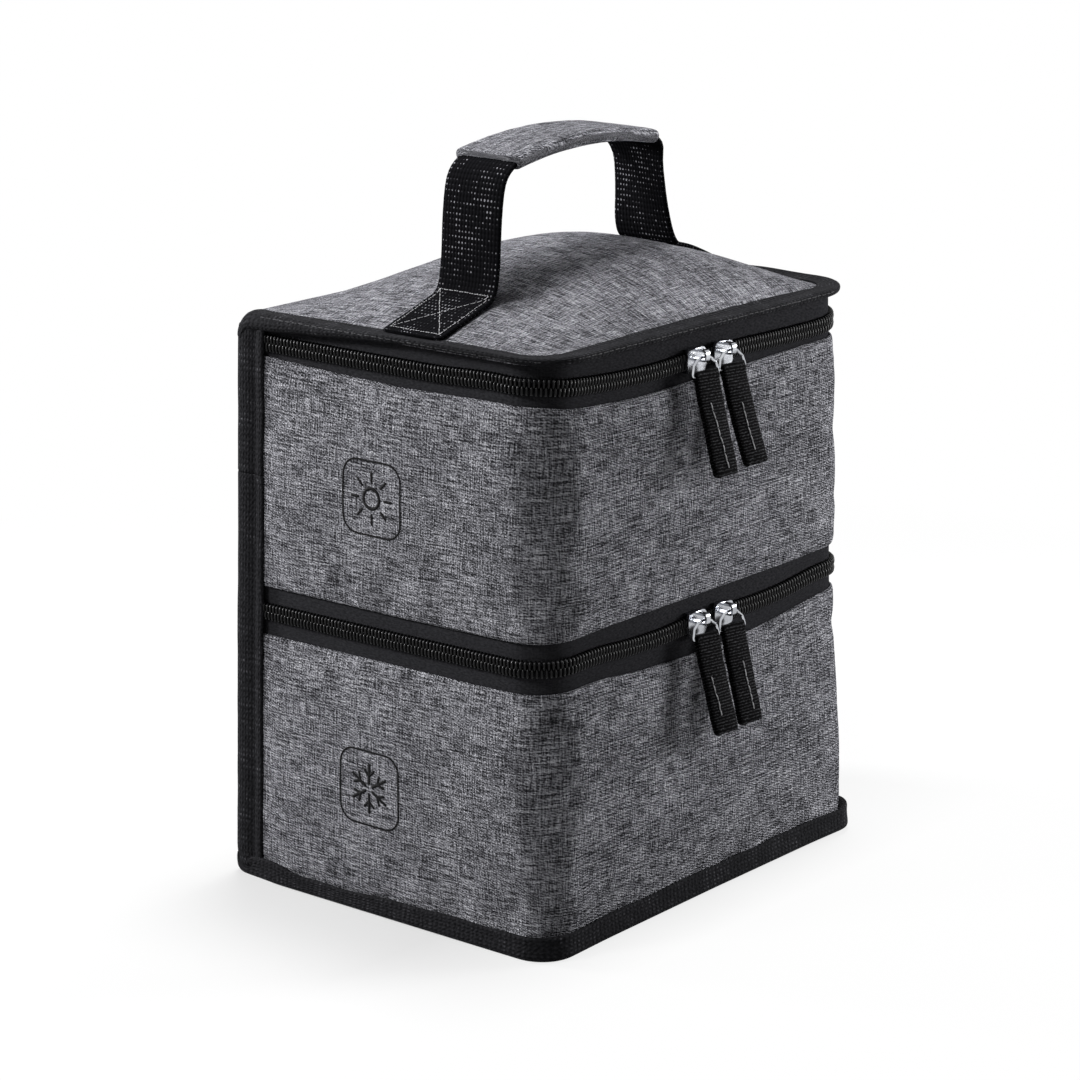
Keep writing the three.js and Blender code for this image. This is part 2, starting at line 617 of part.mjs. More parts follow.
// A wire ring hanging from its top bar, which runs along X through the origin.
function pullRing() {
  const halfWide = RING_WIDTH / 2;
  const tight = 0.8;
  const arc = (x, z, r, from, to) => cornerArc(x, z, r, from, to).filter((_, i) => i % 2 === 0);
  const path = [
    ...arc(halfWide - tight, tight - RING_DROP, tight, 270, 360),
    ...arc(halfWide - RING_BEND_R, -RING_BEND_R, RING_BEND_R, 0, 90),
    ...arc(RING_BEND_R - halfWide, -RING_BEND_R, RING_BEND_R, 90, 180),
    ...arc(tight - halfWide, tight - RING_DROP, tight, 180, 270),
  ];
  const sides = 8;
  const rings = path.map((p, i) => {
    const before = path[(i + path.length - 1) % path.length];
    const after = path[(i + 1) % path.length];
    const along = after.clone().sub(before).normalize();
    const out = new THREE.Vector2(along.y, -along.x);
    return Array.from({ length: sides }, (_, k) => {
      const a = (k + 0.5) * 2 * Math.PI / sides;
      const reach = Math.cos(a) * RING_WIRE / 2;
      return new THREE.Vector3(p.x + out.x * reach, Math.sin(a) * RING_WIRE / 2, p.y + out.y * reach);
    });
  });
  return loft(rings, { loop: true });
}

// A folded ribbon with its loop round the origin, hanging down.
function pullTab() {
  const half = TAB_THICKNESS / 2;
  const eye = RING_WIRE / 2 + SEAT + 0.05;
  const loop = eye + 1;
  const neck = Math.asin(half / loop);
  const s = new THREE.Shape();
  s.moveTo(half, half - TAB_LENGTH);
  s.absarc(0, 0, loop, neck - Math.PI / 2, 1.5 * Math.PI - neck, false);
  s.lineTo(-half, half - TAB_LENGTH);
  s.absarc(0, half - TAB_LENGTH, half, Math.PI, 2 * Math.PI, false);
  const hole = new THREE.Path();
  hole.absarc(0, 0, eye, 0, 2 * Math.PI, true);
  s.holes.push(hole);
  return alongX(s, TAB_WIDTH, 0, 6);
}

const LEAN_AXIS = new THREE.Vector3(1, 0, 0);

// Puts a slider and its pull on a zip. The slider's head points towards the middle.
function addSlider(name, chainZ, faceY, x, headSide) {
  const slider = addPart(`${name}_slider`, sliderBody(), chrome());
  slider.position.set(x, faceY, chainZ);
  slider.rotation.set(0, 0, 0);
  if (headSide < 0) slider.geometry = mirroredX(slider.geometry);
  const pivot = new THREE.Group();
  pivot.position.set(x, faceY + PULL_AXIS_Y, chainZ + PULL_AXIS_Z);
  pivot.rotation.z = -THREE.MathUtils.degToRad(PULL_TWIST);
  bag.add(pivot);
  const ringLean = new THREE.Group();
  ringLean.setRotationFromAxisAngle(LEAN_AXIS, -THREE.MathUtils.degToRad(RING_LEAN));
  pivot.add(ringLean);
  const ring = addPart(`${name}_pull_ring`, pullRing(), chrome());
  ringLean.add(ring);
  const tabLean = new THREE.Group();
  tabLean.position.z = -RING_DROP;
  tabLean.setRotationFromAxisAngle(LEAN_AXIS, -THREE.MathUtils.degToRad(TAB_LEAN - RING_LEAN));
  ringLean.add(tabLean);
  const tab = addPart(`${name}_pull_tab`, pullTab(), blackTape());
  tabLean.add(tab);
}

function mirroredX(geometry) {
  const copy = geometry.clone().scale(-1, 1, 1);
  const index = copy.getIndex().array;
  for (let i = 0; i < index.length; i += 3) [index[i + 1], index[i + 2]] = [index[i + 2], index[i + 1]];
  return copy;
}

const lowerFace = -halfDepth(LOWER_ZIP_Z);
const upperFace = -halfDepth(UPPER_ZIP_Z);
addSlider('lower_left', LOWER_ZIP_Z, lowerFace, LEFT_SLIDER_X, 1);
addSlider('lower_right', LOWER_ZIP_Z, lowerFace, RIGHT_SLIDER_X, -1);
addSlider('upper_left', UPPER_ZIP_Z - FRONT_DIP, upperFace, LEFT_SLIDER_X, 1);
addSlider('upper_right', UPPER_ZIP_Z - FRONT_DIP, upperFace, RIGHT_SLIDER_X, -1);

export default bag;
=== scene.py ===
# %% [markdown]
# # An insulated lunch bag in grey heather cloth
# The bag has two zipped compartments, one on top of the other, that fold open at the back. Its walls are
# cloth over foam, its edges are bound in black ribbed tape, and its pulls are wire rings with ribbon tabs.
# The rigid frame comes from the CAD model. Each cell dresses one piece of it, in the order a sewing room
# would.

import json
import math

import bpy
import numpy as np
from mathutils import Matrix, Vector, noise
from mathutils.bvhtree import BVHTree


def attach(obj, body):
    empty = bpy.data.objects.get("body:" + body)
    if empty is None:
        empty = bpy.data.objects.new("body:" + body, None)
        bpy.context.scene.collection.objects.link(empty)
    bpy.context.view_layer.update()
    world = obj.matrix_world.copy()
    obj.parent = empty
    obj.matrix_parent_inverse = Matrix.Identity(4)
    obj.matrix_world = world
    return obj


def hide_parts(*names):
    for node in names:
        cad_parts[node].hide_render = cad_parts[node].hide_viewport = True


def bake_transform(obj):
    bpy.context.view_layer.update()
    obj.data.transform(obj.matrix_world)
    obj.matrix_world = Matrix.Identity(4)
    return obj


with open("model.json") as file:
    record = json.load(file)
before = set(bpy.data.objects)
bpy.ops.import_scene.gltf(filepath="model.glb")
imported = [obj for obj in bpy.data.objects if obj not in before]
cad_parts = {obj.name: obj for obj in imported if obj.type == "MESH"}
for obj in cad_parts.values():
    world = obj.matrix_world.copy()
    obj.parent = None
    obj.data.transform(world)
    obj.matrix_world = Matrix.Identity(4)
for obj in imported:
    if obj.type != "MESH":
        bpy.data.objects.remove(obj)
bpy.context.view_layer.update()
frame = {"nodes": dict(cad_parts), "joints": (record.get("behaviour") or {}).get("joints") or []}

# %% [markdown]
# ## Sizes
# Everything below is drawn in millimetres, because a pattern cutter thinks in them, and is turned to metres
# only when a mesh is made. These are the sizes that the solids have, so each soft piece lies where its solid
# lies.

# %% Sizes in millimetres
MM = 0.001
BOTTOM_WIDTH, TOP_WIDTH = 207.0, 199.0
BOTTOM_DEPTH, TOP_DEPTH = 168.0, 160.0
BODY_HEIGHT = 240.0
FRONT_CORNER_R, BACK_CORNER_R, SPINE_ROLL_R = 19.0, 5.0, 10.0
LID_CROWN, CROWN_MIDDLE, DOME_EDGE_Z = 21.3, 12.0, 237.4
LID_LEVEL, LID_FLAT_RIM = 238.2, 4.5
LOWER_ZIP_Z, UPPER_ZIP_Z = 117.0, 227.5
BASE_TOP, UPPER_BOTTOM, UPPER_TOP = 106.0, 127.0, 219.0
SPLIT_Z = 172.0


def half_width(z):
    return (BOTTOM_WIDTH + (TOP_WIDTH - BOTTOM_WIDTH) * z / BODY_HEIGHT) / 2


def half_depth(z):
    return (BOTTOM_DEPTH + (TOP_DEPTH - BOTTOM_DEPTH) * z / BODY_HEIGHT) / 2


def spine_roll(z):
    """How far the back draws in where it rolls into the bottom and into the lid."""
    rise = min(max(min(z, BODY_HEIGHT - z), 0.0), SPINE_ROLL_R)
    return SPINE_ROLL_R - math.sqrt(SPINE_ROLL_R**2 - (SPINE_ROLL_R - rise) ** 2)


def back_edge(z):
    return half_depth(z) - spine_roll(z)


def smooth(t):
    t = min(max(t, 0.0), 1.0)
    return t * t * (3 - 2 * t)


print("bag:", BOTTOM_WIDTH, "by", BOTTOM_DEPTH, "by", BODY_HEIGHT, "mm")

# %% [markdown]
# ## One way to make a sheet
# Cloth, tape and film are all sheets, so one function makes them from rows of points. It also lays out a flat
# map of the sheet in metres, as the cutter's pattern would, and the woven materials follow that map. A weave
# laid on object coordinates would smear on the surfaces that turn away from an axis.


# %% A mesh from points
def mesh_piece(name, points, faces, material, flat=None, body=None):
    """A mesh object from points in millimetres. flat is each point's place on the cloth, in millimetres."""
    mesh = bpy.data.meshes.new(name)
    mesh.from_pydata([tuple(p) for p in np.asarray(points, float) * MM], [], faces)
    if flat is not None:
        layer = mesh.uv_layers.new(name="cloth")
        flat = np.asarray(flat, float) * MM
        corners = np.array([flat[loop.vertex_index] for loop in mesh.loops])
        layer.data.foreach_set("uv", corners.ravel())
    mesh.polygons.foreach_set("use_smooth", [True] * len(mesh.polygons))
    mesh.materials.append(material)
    mesh.update()
    piece = bpy.data.objects.new(name, mesh)
    bpy.context.collection.objects.link(piece)
    if body:
        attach(piece, body)
    return piece


print("a mesh is made at", MM, "m to the millimetre")


# %% Rows of points make a sheet
def grid_faces(rows, columns, around, ends):
    """Faces between rows of points. around joins the two ends of each row, and ends closes the tube made so."""
    faces = []
    for i in range(rows - 1):
        for k in range(columns if around else columns - 1):
            m = (k + 1) % columns
            faces.append((i * columns + k, i * columns + m, (i + 1) * columns + m, (i + 1) * columns + k))
    if ends:
        faces.append(tuple(reversed(range(columns))))
        faces.append(tuple(range((rows - 1) * columns, rows * columns)))
    return faces


def lengths_along(line):
    """How far along a line each of its points lies."""
    return np.r_[0, np.cumsum(np.linalg.norm(np.diff(np.asarray(line, float), axis=0), axis=1))]


def flat_map(grid):
    """Each point's distance along its row and from the first row, measured on the middle row and column."""
    along, down = lengths_along(grid[len(grid) // 2]), lengths_along(grid[:, grid.shape[1] // 2])
    return np.array([(a, d) for d in down for a in along])


def sheet_piece(name, grid, material, body=None, around=False, ends=False, flat=None):
    """A sheet from rows of points. flat is given where the rows alone don't say how the cloth lies."""
    grid = np.asarray(grid, float)
    faces = grid_faces(*grid.shape[:2], around, ends)
    flat = flat_map(grid) if flat is None else flat
    return mesh_piece(name, grid.reshape(-1, 3), faces, material, flat, body)


print("a sheet of 3 by 4 points has", len(grid_faces(3, 4, False, False)), "faces")


# %% Thickness and soft edges
def keep_modifiers(piece):
    graph = bpy.context.evaluated_depsgraph_get()
    made = bpy.data.meshes.new_from_object(piece.evaluated_get(graph), depsgraph=graph)
    piece.modifiers.clear()
    piece.data = made
    return piece


def rounded(piece):
    """Divides the mesh once more and rounds it, because nothing sewn has a sharp corner."""
    finer = piece.modifiers.new("finer", "SUBSURF")
    finer.levels = finer.render_levels = 1
    return keep_modifiers(piece)


def thicken(piece, thickness, soft=True):
    """Gives a sheet its thickness, inwards, and keeps the result as the piece's own mesh."""
    solid = piece.modifiers.new("thickness", "SOLIDIFY")
    solid.thickness, solid.offset = thickness * MM, -1
    return rounded(piece) if soft else keep_modifiers(piece)


CLOTH_THICK, TAPE_THICK, FILM_THICK, RIBBON_THICK, INK_THICK = 1.3, 0.7, 0.6, 0.8, 0.08
print("cloth is", CLOTH_THICK, "mm thick and a zip's tape", TAPE_THICK, "mm")

# %% [markdown]
# ## Colours and nodes
# A screen colour is written as a hex value and turned to the linear values that a renderer adds up. One small
# function adds a node with its settings and links, which keeps each material down to a list of what it is
# made of.


# %% Colour, and the function that adds a node
def colour(code):
    def linear(c):
        return c / 12.92 if c <= 0.04045 else ((c + 0.055) / 1.055) ** 2.4

    return tuple(linear(int(code[i : i + 2], 16) / 255) for i in (1, 3, 5)) + (1.0,)


def node(tree, kind, inputs=None, stops=(), **settings):
    """Adds one node and sets it up. An input takes a value, a socket, or the first output of another node."""
    made = tree.nodes.new("ShaderNode" + kind)
    for name, value in settings.items():
        setattr(made, name, value)
    for name, value in (inputs or {}).items():
        value = value.outputs[0] if isinstance(value, bpy.types.Node) else value
        if isinstance(value, bpy.types.NodeSocket):
            tree.links.new(value, made.inputs[name])
        else:
            made.inputs[name].default_value = value
    elements = made.color_ramp.elements if stops else []
    while len(elements) < len(stops):
        elements.new(0.5)
    for element, (position, code) in zip(elements, stops):
        element.position, element.color = position, colour(code)
    return made


print("mid grey #808080 is", round(colour("#808080")[0], 3), "in linear light")


# %% How every material here starts and ends
def new_material(name, roughness, **surface):
    """An empty material with a Principled surface. Values are set on the surface's own sockets."""
    material = bpy.data.materials.new(name)
    material.use_nodes = True
    shader = material.node_tree.nodes["Principled BSDF"]
    shader.inputs["Roughness"].default_value = roughness
    for socket, value in surface.items():
        shader.inputs[socket.replace("_", " ")].default_value = value
    return material, material.node_tree, shader


def dye_and_relief(tree, shader, tone, stops, height, depth_mm, strength):
    """tone picks the colour between its stops, and height lifts the surface by up to a depth."""
    dyed = node(tree, "ValToRGB", {"Fac": tone}, stops=stops)
    tree.links.new(dyed.outputs["Color"], shader.inputs["Base Color"])
    if depth_mm:
        relief = node(tree, "Bump", {"Height": height, "Distance": depth_mm * MM, "Strength": strength})
        tree.links.new(relief.outputs["Normal"], shader.inputs["Normal"])


print("materials before the first one:", len(bpy.data.materials))

# %% [markdown]
# ## Heather polyester
# The walls are a plain weave of two-tone yarn: every thread changes from pale to dark grey along its length,
# which gives short streaks both ways. It could be one noise, but real heather shows threads, so warp and weft
# each get their own streaks and a faint twill line crosses them. The real thread is about 0.45 mm. It is
# drawn at 0.6 mm, because a finer one would blur away at this picture's size.


# %% Streaks, waves and sums that yarns are made of
def streaks(tree, cloth, across_mm, along_mm, detail, roughness=0.6, shift=0.0):
    """Noise drawn out into streaks: across_mm wide in x and along_mm long in y."""
    scale = (1 / (across_mm * MM), 1 / (along_mm * MM), 1.0)
    spread = node(tree, "Mapping", {"Vector": cloth, "Location": (shift,) * 3, "Scale": scale})
    return node(tree, "TexNoise", {"Vector": spread, "Scale": 1.0, "Detail": detail, "Roughness": roughness})


def turn_per_metre(pitch_mm):
    """How fast the angle of a wave grows along the cloth when one wave is a pitch long."""
    return 2 * math.pi / (pitch_mm * MM)


def weighted(tree, values):
    """The sum of values, each with its weight."""
    total = 0.0
    for value, weight in values:
        total = node(tree, "Math", {0: value, 1: weight, 2: total}, operation="MULTIPLY_ADD")
    return total


def halved_wave(tree, wave):
    """Brings a wave that runs from -1 to 1 to run from 0 to 1."""
    return node(tree, "Math", {0: wave, 1: 0.5, 2: 0.5}, operation="MULTIPLY_ADD")


print("a pitch of 1 mm turns", round(turn_per_metre(1.0)), "radians in a metre")

# %% Heather polyester
HEATHER_THREAD, TWILL_PITCH = 0.6, 1.05


def heather_polyester():
    # Matt cloth with no gloss: all of its life is in the threads.
    material, tree, shader = new_material("heather_polyester_plain_weave", 0.95, Specular_IOR_Level=0.0)
    cloth = node(tree, "UVMap", uv_map="cloth")
    warp = streaks(tree, cloth, HEATHER_THREAD, 8.0, 2.0)
    weft = streaks(tree, cloth, 10.0, HEATHER_THREAD, 2.0, shift=31.0)
    slub = streaks(tree, cloth, 26.0, 1.2, 2.0, roughness=0.7, shift=57.0)
    grain = streaks(tree, cloth, 0.8, 0.8, 1.0, roughness=0.5, shift=11.0)
    patch = streaks(tree, cloth, 26.0, 20.0, 2.0, roughness=0.5, shift=83.0)
    # The twill's lines lie close to level and break off as the yarns do.
    parts = node(tree, "SeparateXYZ", {0: cloth})
    slope = weighted(tree, [(parts.outputs[0], 0.36), (parts.outputs[1], 0.93)])
    broken = streaks(tree, cloth, 5.0, 2.2, 2.0, shift=71.0)
    phase = weighted(tree, [(slope, turn_per_metre(TWILL_PITCH)), (broken, 9.0)])
    twill = halved_wave(tree, node(tree, "Math", {0: phase}, operation="SINE"))
    shares = [(warp, 0.27), (weft, 0.35), (slub, 0.09), (grain, 0.20), (patch, 0.08), (twill, 0.045)]
    height = weighted(tree, [(warp, 0.9), (weft, 0.9), (twill, 0.3), (grain, 1.1)])
    greys = [(0.424, "#2e2e31"), (0.477, "#56565a"), (0.518, "#85858b"), (0.561, "#b0b0b7"), (0.637, "#e4e4ea")]
    dye_and_relief(tree, shader, weighted(tree, shares), greys, height, 1.9, 1.0)
    return material


HEATHER = heather_polyester()
print(HEATHER.name, "thread", HEATHER_THREAD, "mm")

# %% [markdown]
# ## Black grosgrain for the edges
# Four black textiles lie side by side on this bag, and only their weave tells them apart. The edge tape is
# ribbed grosgrain whose filaments catch the light in rows of specks. It could be a plain black with a bump,
# but the specks are what the eye sees, so these highlights are painted into its colour. Real ribs of about
# 1 mm would blur away in this picture, so they are drawn at 2.4 mm.

# %% Grosgrain edge tape
TAPE_RIB, TAPE_GLINT_ROW = 2.4, 1.5


def threads_along(tree, cloth, axis, pitch_mm):
    """Soft ridges from 0 to 1, one each pitch along the map's x (0) or y (1)."""
    way = node(tree, "SeparateXYZ", {0: cloth}).outputs[axis]
    turn = node(tree, "Math", {0: way, 1: turn_per_metre(pitch_mm)}, operation="MULTIPLY")
    return halved_wave(tree, node(tree, "Math", {0: turn}, operation="SINE"))


def grosgrain_edge_tape():
    # Ribbed tape: dark ribs with pale specks along it, highlights painted where its filaments turn to the
    # light.
    material, tree, shader = new_material("grosgrain_edge_tape_woven", 0.75, Specular_IOR_Level=0.02)
    cloth = node(tree, "UVMap", uv_map="cloth")
    ribs, rows = threads_along(tree, cloth, 0, TAPE_RIB), threads_along(tree, cloth, 1, TAPE_GLINT_ROW)
    # The specks are painted highlights: pale dots dyed in where the ribs and the rows cross.
    painted_glint_specks = node(tree, "Math", {0: ribs, 1: rows}, operation="MULTIPLY")
    clusters = streaks(tree, cloth, 9.0, 15.0, 4.0, roughness=0.75, shift=5.0)
    grain = streaks(tree, cloth, 1.3, 0.8, 1.0, shift=3.0)
    mesh = streaks(tree, cloth, 1.2, 1.2, 0.0, shift=23.0)
    uneven = streaks(tree, cloth, 2.2, 1.6, 1.0, shift=19.0)
    here = node(tree, "MapRange", {0: clusters, 1: 0.48, 2: 0.48 + 1 / 7})
    sharp = node(tree, "Math", {0: painted_glint_specks, 1: 1.3}, operation="POWER")
    some = node(tree, "Math", {0: uneven, 1: 2.0}, operation="POWER")
    shown = node(tree, "Math", {0: sharp, 1: here}, operation="MULTIPLY")
    shown = node(tree, "Math", {0: shown, 1: some}, operation="MULTIPLY")
    tone = weighted(tree, [(shown, 1.6), (grain, 0.25), (mesh, 0.2)])
    height = weighted(tree, [(painted_glint_specks, 0.7), (mesh, 0.6), (grain, 0.5)])
    blacks = [(0.08, "#0a0a0b"), (0.2, "#1c1c1e"), (0.5, "#38383b"), (0.95, "#6a6a6e")]
    dye_and_relief(tree, shader, tone, blacks, height, 0.5, 0.8)
    return material


EDGE_TAPE = grosgrain_edge_tape()
print(EDGE_TAPE.name, "rib", TAPE_RIB, "mm")

# %% [markdown]
# ## Zip tape and carry webbing
# The zip's tape is woven flat and matt from fine threads. The carry webbing is coarse, and its crossings stand
# up in staggered rows, whose highlights are painted in as bright dots. Both are one pattern of crossings, at
# two pitches. The threads of the
# tape are drawn at 1.1 mm, about twice the size of real ones, because finer ones would blur away. Those of the
# webbing are drawn at about 2 mm, as in common webbing of this width.


# %% Flat zip tape
def crossings(tree, cloth, along_mm, across_mm):
    """Soft bumps from 0 to 1 in staggered rows, as threads make where they cross."""
    parts = node(tree, "SeparateXYZ", {0: cloth})
    x, y = (node(tree, "Math", {0: parts.outputs[axis], 1: turn_per_metre(pitch)}, operation="MULTIPLY")
            for axis, pitch in ((0, along_mm), (1, across_mm)))
    waves = [node(tree, "Math", {0: node(tree, "Math", {0: x, 1: y}, operation=way)}, operation="SINE")
             for way in ("ADD", "SUBTRACT")]
    return halved_wave(tree, node(tree, "Math", {0: waves[0], 1: waves[1]}, operation="MULTIPLY"))


def woven_zip_tape():
    # Flat matt tape, a shade lighter than the edge tape because nothing on it is shiny.
    material, tree, shader = new_material("zip_tape_flat_woven_polyester", 0.85, Specular_IOR_Level=0.0)
    cloth = node(tree, "UVMap", uv_map="cloth")
    threads = crossings(tree, cloth, 1.1, 1.1)
    grain = streaks(tree, cloth, 1.6, 0.8, 2.0, shift=9.0)
    tone = weighted(tree, [(threads, 0.35), (grain, 0.65)])
    dye_and_relief(tree, shader, tone, [(0.3, "#19191b"), (0.7, "#3a3a3d")], threads, 0.2, 0.8)
    return material


ZIP_TAPE = woven_zip_tape()
print(ZIP_TAPE.name)

# %% Carry webbing
WEBBING_PITCH, WEBBING_ROW = 2.2, 3.4


def carry_webbing():
    # Coarse black webbing: crossings stand up in staggered rows, and their highlights are painted in as dots.
    material, tree, shader = new_material("polypropylene_carry_webbing", 0.7, Specular_IOR_Level=0.0)
    cloth = node(tree, "UVMap", uv_map="cloth")
    dots = crossings(tree, cloth, WEBBING_PITCH * 2, WEBBING_ROW)
    uneven = streaks(tree, cloth, 16.0, 11.0, 1.0, shift=2.0)
    single = streaks(tree, cloth, 2.6, 2.6, 0.0, shift=44.0)
    share = weighted(tree, [(uneven, 1.092), (single, 0.84)])
    here = node(tree, "Math", {0: share, 1: 5.0}, operation="POWER")
    # Painted highlights: only the tops of the crossings are dyed pale, in some places more than others.
    bright = node(tree, "Math", {0: dots, 1: 7.0}, operation="POWER")
    painted_dot_highlights = node(tree, "Math", {0: bright, 1: here}, operation="MULTIPLY", use_clamp=True)
    blacks = [(0.0, "#121214"), (0.35, "#19191b"), (0.75, "#3a3a3d"), (1.0, "#88888d")]
    dye_and_relief(tree, shader, painted_dot_highlights, blacks, dots, 0.6, 0.8)
    return material


WEBBING = carry_webbing()
print(WEBBING.name, "pitch", WEBBING_PITCH, "mm")

# %% [markdown]
# ## Ribbon for the pulls
# The tabs are a fine ribbed ribbon, a little shiny on each rib. A wave with some distortion gives ribs that
# are not quite straight, as they are after the ribbon has been folded, and the same wave paints a paler sheen
# on each rib's crest and shade between the ribs. They are drawn at 1.2 mm, about as wide as the ribs of a
# common ribbon.

# %% Pull ribbon
# The wave node draws 10 / pi waves on each unit, so this scale gives one wave to the millimetre of cloth.
RIBBON_RIB, WAVE_SCALE = 1.2, 314


def pull_ribbon():
    # Fine ribs run across the ribbon, so the map's long direction carries the wave.
    material, tree, shader = new_material("pull_ribbon_fine_grosgrain", 0.7, Specular_IOR_Level=0.02)
    cloth = node(tree, "UVMap", uv_map="cloth")
    ribs = node(tree, "TexWave", {"Vector": cloth, "Scale": WAVE_SCALE / RIBBON_RIB, "Distortion": 2.0,
                                  "Detail": 2.0, "Detail Scale": 3.0}, bands_direction="Y").outputs["Fac"]
    grain = streaks(tree, cloth, 0.9, 0.9, 2.0, shift=6.0)
    # The wave's share of the tone is painted sheen on the rib crests and painted shade between them.
    tone = weighted(tree, [(ribs, 0.3), (grain, 0.7)])
    blacks = [(0.35, "#060607"), (0.55, "#111112"), (0.8, "#4d4d50")]
    dye_and_relief(tree, shader, tone, blacks, ribs, 0.3, 0.7)
    return material


RIBBON = pull_ribbon()
print(RIBBON.name, "rib", RIBBON_RIB, "mm")

# %% [markdown]
# ## Nylon, thread, chrome and ink
# The coil is glossy extruded nylon. Sewing thread is matt and grey. The sliders are zinc castings with bright
# nickel chrome, so they are a metal with low roughness and nearly no colour. The two symbols on the side are
# screen printed in black ink. None of them has a pattern that shows, so one function gives each a faint
# grain.


# %% Nylon, thread, chrome and ink
def plain_with_grain(name, roughness, dark, light, grain_mm, bump_mm, **surface):
    material, tree, shader = new_material(name, roughness, **surface)
    here = node(tree, "TexCoord").outputs["Object"]
    spread = node(tree, "Mapping", {"Vector": here, "Scale": (1 / (grain_mm * MM),) * 3})
    grain = node(tree, "TexNoise", {"Vector": spread, "Scale": 1.0, "Detail": 2.0})
    dye_and_relief(tree, shader, grain, [(0.35, dark), (0.65, light)], grain, bump_mm, 0.5)
    return material


# Nylon gives a thin highlight along each loop, thread gives none, and chrome mirrors the room.
COIL_NYLON = plain_with_grain(
    "nylon_coil_extruded", 0.3, "#060607", "#0a0a0b", 3.0, 0.0, Specular_IOR_Level=0.14)
THREAD = plain_with_grain("spun_polyester_thread_grey", 0.7, "#9b9b9e", "#c2c2c5", 0.6, 0.1)
DIM_THREAD = plain_with_grain("spun_polyester_thread_dark", 0.7, "#2c2c2e", "#48484b", 0.6, 0.1)
CHROME = plain_with_grain("zinc_casting_bright_chrome", 0.18, "#a4a6ab", "#b6b8bd", 4.0, 0.0, Metallic=1.0)
WIRE = plain_with_grain("steel_wire_bright_chrome", 0.14, "#b2b4b9", "#c2c4c8", 4.0, 0.0, Metallic=1.0)
INK = plain_with_grain(
    "screen_print_ink_black", 0.7, "#070708", "#0e0e10", 0.8, 0.05, Specular_IOR_Level=0.1)
print("finishes:", len(bpy.data.materials))

# %% [markdown]
# ## Silver film
# The inside is polyester film with a thin coat of aluminium, creased where the foam behind it gives. It could
# be a plain mirror, but the creases break its reflections up, so they are drawn as cells of about 14 mm.

# %% Silver film
CREASE = 14.0


def silver_film():
    # Metallised film: a broad sheen with fine creases.
    material, tree, shader = new_material("metallised_lining_film", 0.34, Metallic=0.75)
    cloth = node(tree, "UVMap", uv_map="cloth")
    spread = node(tree, "Mapping", {"Vector": cloth, "Scale": (1 / (CREASE * MM),) * 3})
    crease = node(tree, "TexVoronoi", {"Vector": spread, "Scale": 1.0},
                  feature="DISTANCE_TO_EDGE").outputs["Distance"]
    soft = streaks(tree, cloth, 30.0, 30.0, 4.0)
    height = weighted(tree, [(crease, 0.7), (soft, 1.0)])
    dye_and_relief(tree, shader, soft, [(0.35, "#b4b7bb"), (0.65, "#d4d6d9")], height, 1.2, 0.6)
    return material


FILM = silver_film()
print(FILM.name, "creases each", CREASE, "mm")

# %% [markdown]
# ## The outline that every wall follows
# Side walls and front are one strip of cloth that turns two rounded corners and ends under the edge tape at
# the back. Stations along that strip give each point its place at any height, so walls, tapes and zips line
# up.

# %% Stations round the bag
BACK_TUCK = 11.0


def corner_radius(z):
    """The front corners are pulled sharper at the bottom by the board."""
    return float(np.interp(z, [0.0, 90.0], [12.0, FRONT_CORNER_R]))


def stations(side, corner, front):
    runs = [("left", side), ("left corner", corner), ("front", front), ("right corner", corner),
            ("right", side)]
    spots = []
    for run, count in runs:
        spots += [(run, i / count) for i in range(count)]
    return spots + [("right", 1.0)]


def round_point(spot, z, out, tuck=BACK_TUCK):
    """The place and the outward direction of a station at a height, out millimetres proud of the cloth."""
    run, f = spot
    w, d, r = half_width(z), half_depth(z), corner_radius(z)
    back, start = back_edge(z) - tuck, r - d
    if run == "left":
        return (-w - out, back + (start - back) * f, z), (-1.0, 0.0, 0.0)
    if run == "right":
        return (w + out, start + (back - start) * f, z), (1.0, 0.0, 0.0)
    if run == "front":
        return (r - w + 2 * (w - r) * f, -d - out, z), (0.0, -1.0, 0.0)
    angle = math.radians((180 if run == "left corner" else 270) + 90 * f)
    centre = (r - w if run == "left corner" else w - r, r - d)
    way = (math.cos(angle), math.sin(angle), 0.0)
    return (centre[0] + way[0] * (r + out), centre[1] + way[1] * (r + out), z), way


WALL_SPOTS = stations(26, 10, 36)
print("stations:", len(WALL_SPOTS))

# %% Sewn edges that are never level
# Places along the strip, in millimetres from the middle of the front, and how far the edge lies above or
# below its level there. The first two are the upper zip's chain and the cloth under it, the next three the
# cloth above the lower zip, its chain and the cloth under it.
SAG = {
    "upper chain": (
        [-245, -133, -113, -101, -92, -80, -67, -55, -30, -16, 22, 50, 78, 92, 105, 245],
        [-1.0, -0.9, 0.2, 0.2, -0.6, -1.6, -2.6, -3.4, -4.0, -3.3, -3.2, -3.9, -4.2, -3.0, -1.2, -1.0]),
    "upper cloth": (
        [-245, -226, -196, -154, -133, -98, -80, -67, -42, -15, 28, 50, 75, 100, 245],
        [2.4, 2.2, 0.7, -0.5, 0.1, 0.8, -1.6, -2.5, -3.9, -3.3, -2.5, -1.7, -1.3, -1.0, -1.0]),
    "middle cloth": (
        [-245, -226, -150, -98, -60, 60, 85, 120, 245],
        [-1.4, -1.4, -1.2, -0.4, 0.6, 0.8, 1.6, 1.0, 0.0]),
    "lower chain": (
        [-245, -226, -160, -98, -80, -69, -50, -30, -16, 16, 30, 51, 79, 110, 245],
        [-1.9, -1.8, -1.2, -0.4, 0.3, 0.5, -1.0, -1.5, -0.6, -0.6, -1.3, -0.8, 2.2, 1.6, 0.0]),
    "lower cloth": (
        [-245, -226, -120, -98, -69, -45, -9, 40, 60, 85, 120, 245],
        [-0.8, -0.6, 0.0, 0.4, 1.4, -1.1, -2.5, -1.0, 1.2, 4.0, 2.5, 0.5]),
}
STRIP_HALF, CHAIN_HALF, EASE = 245.0, 3.4, 8
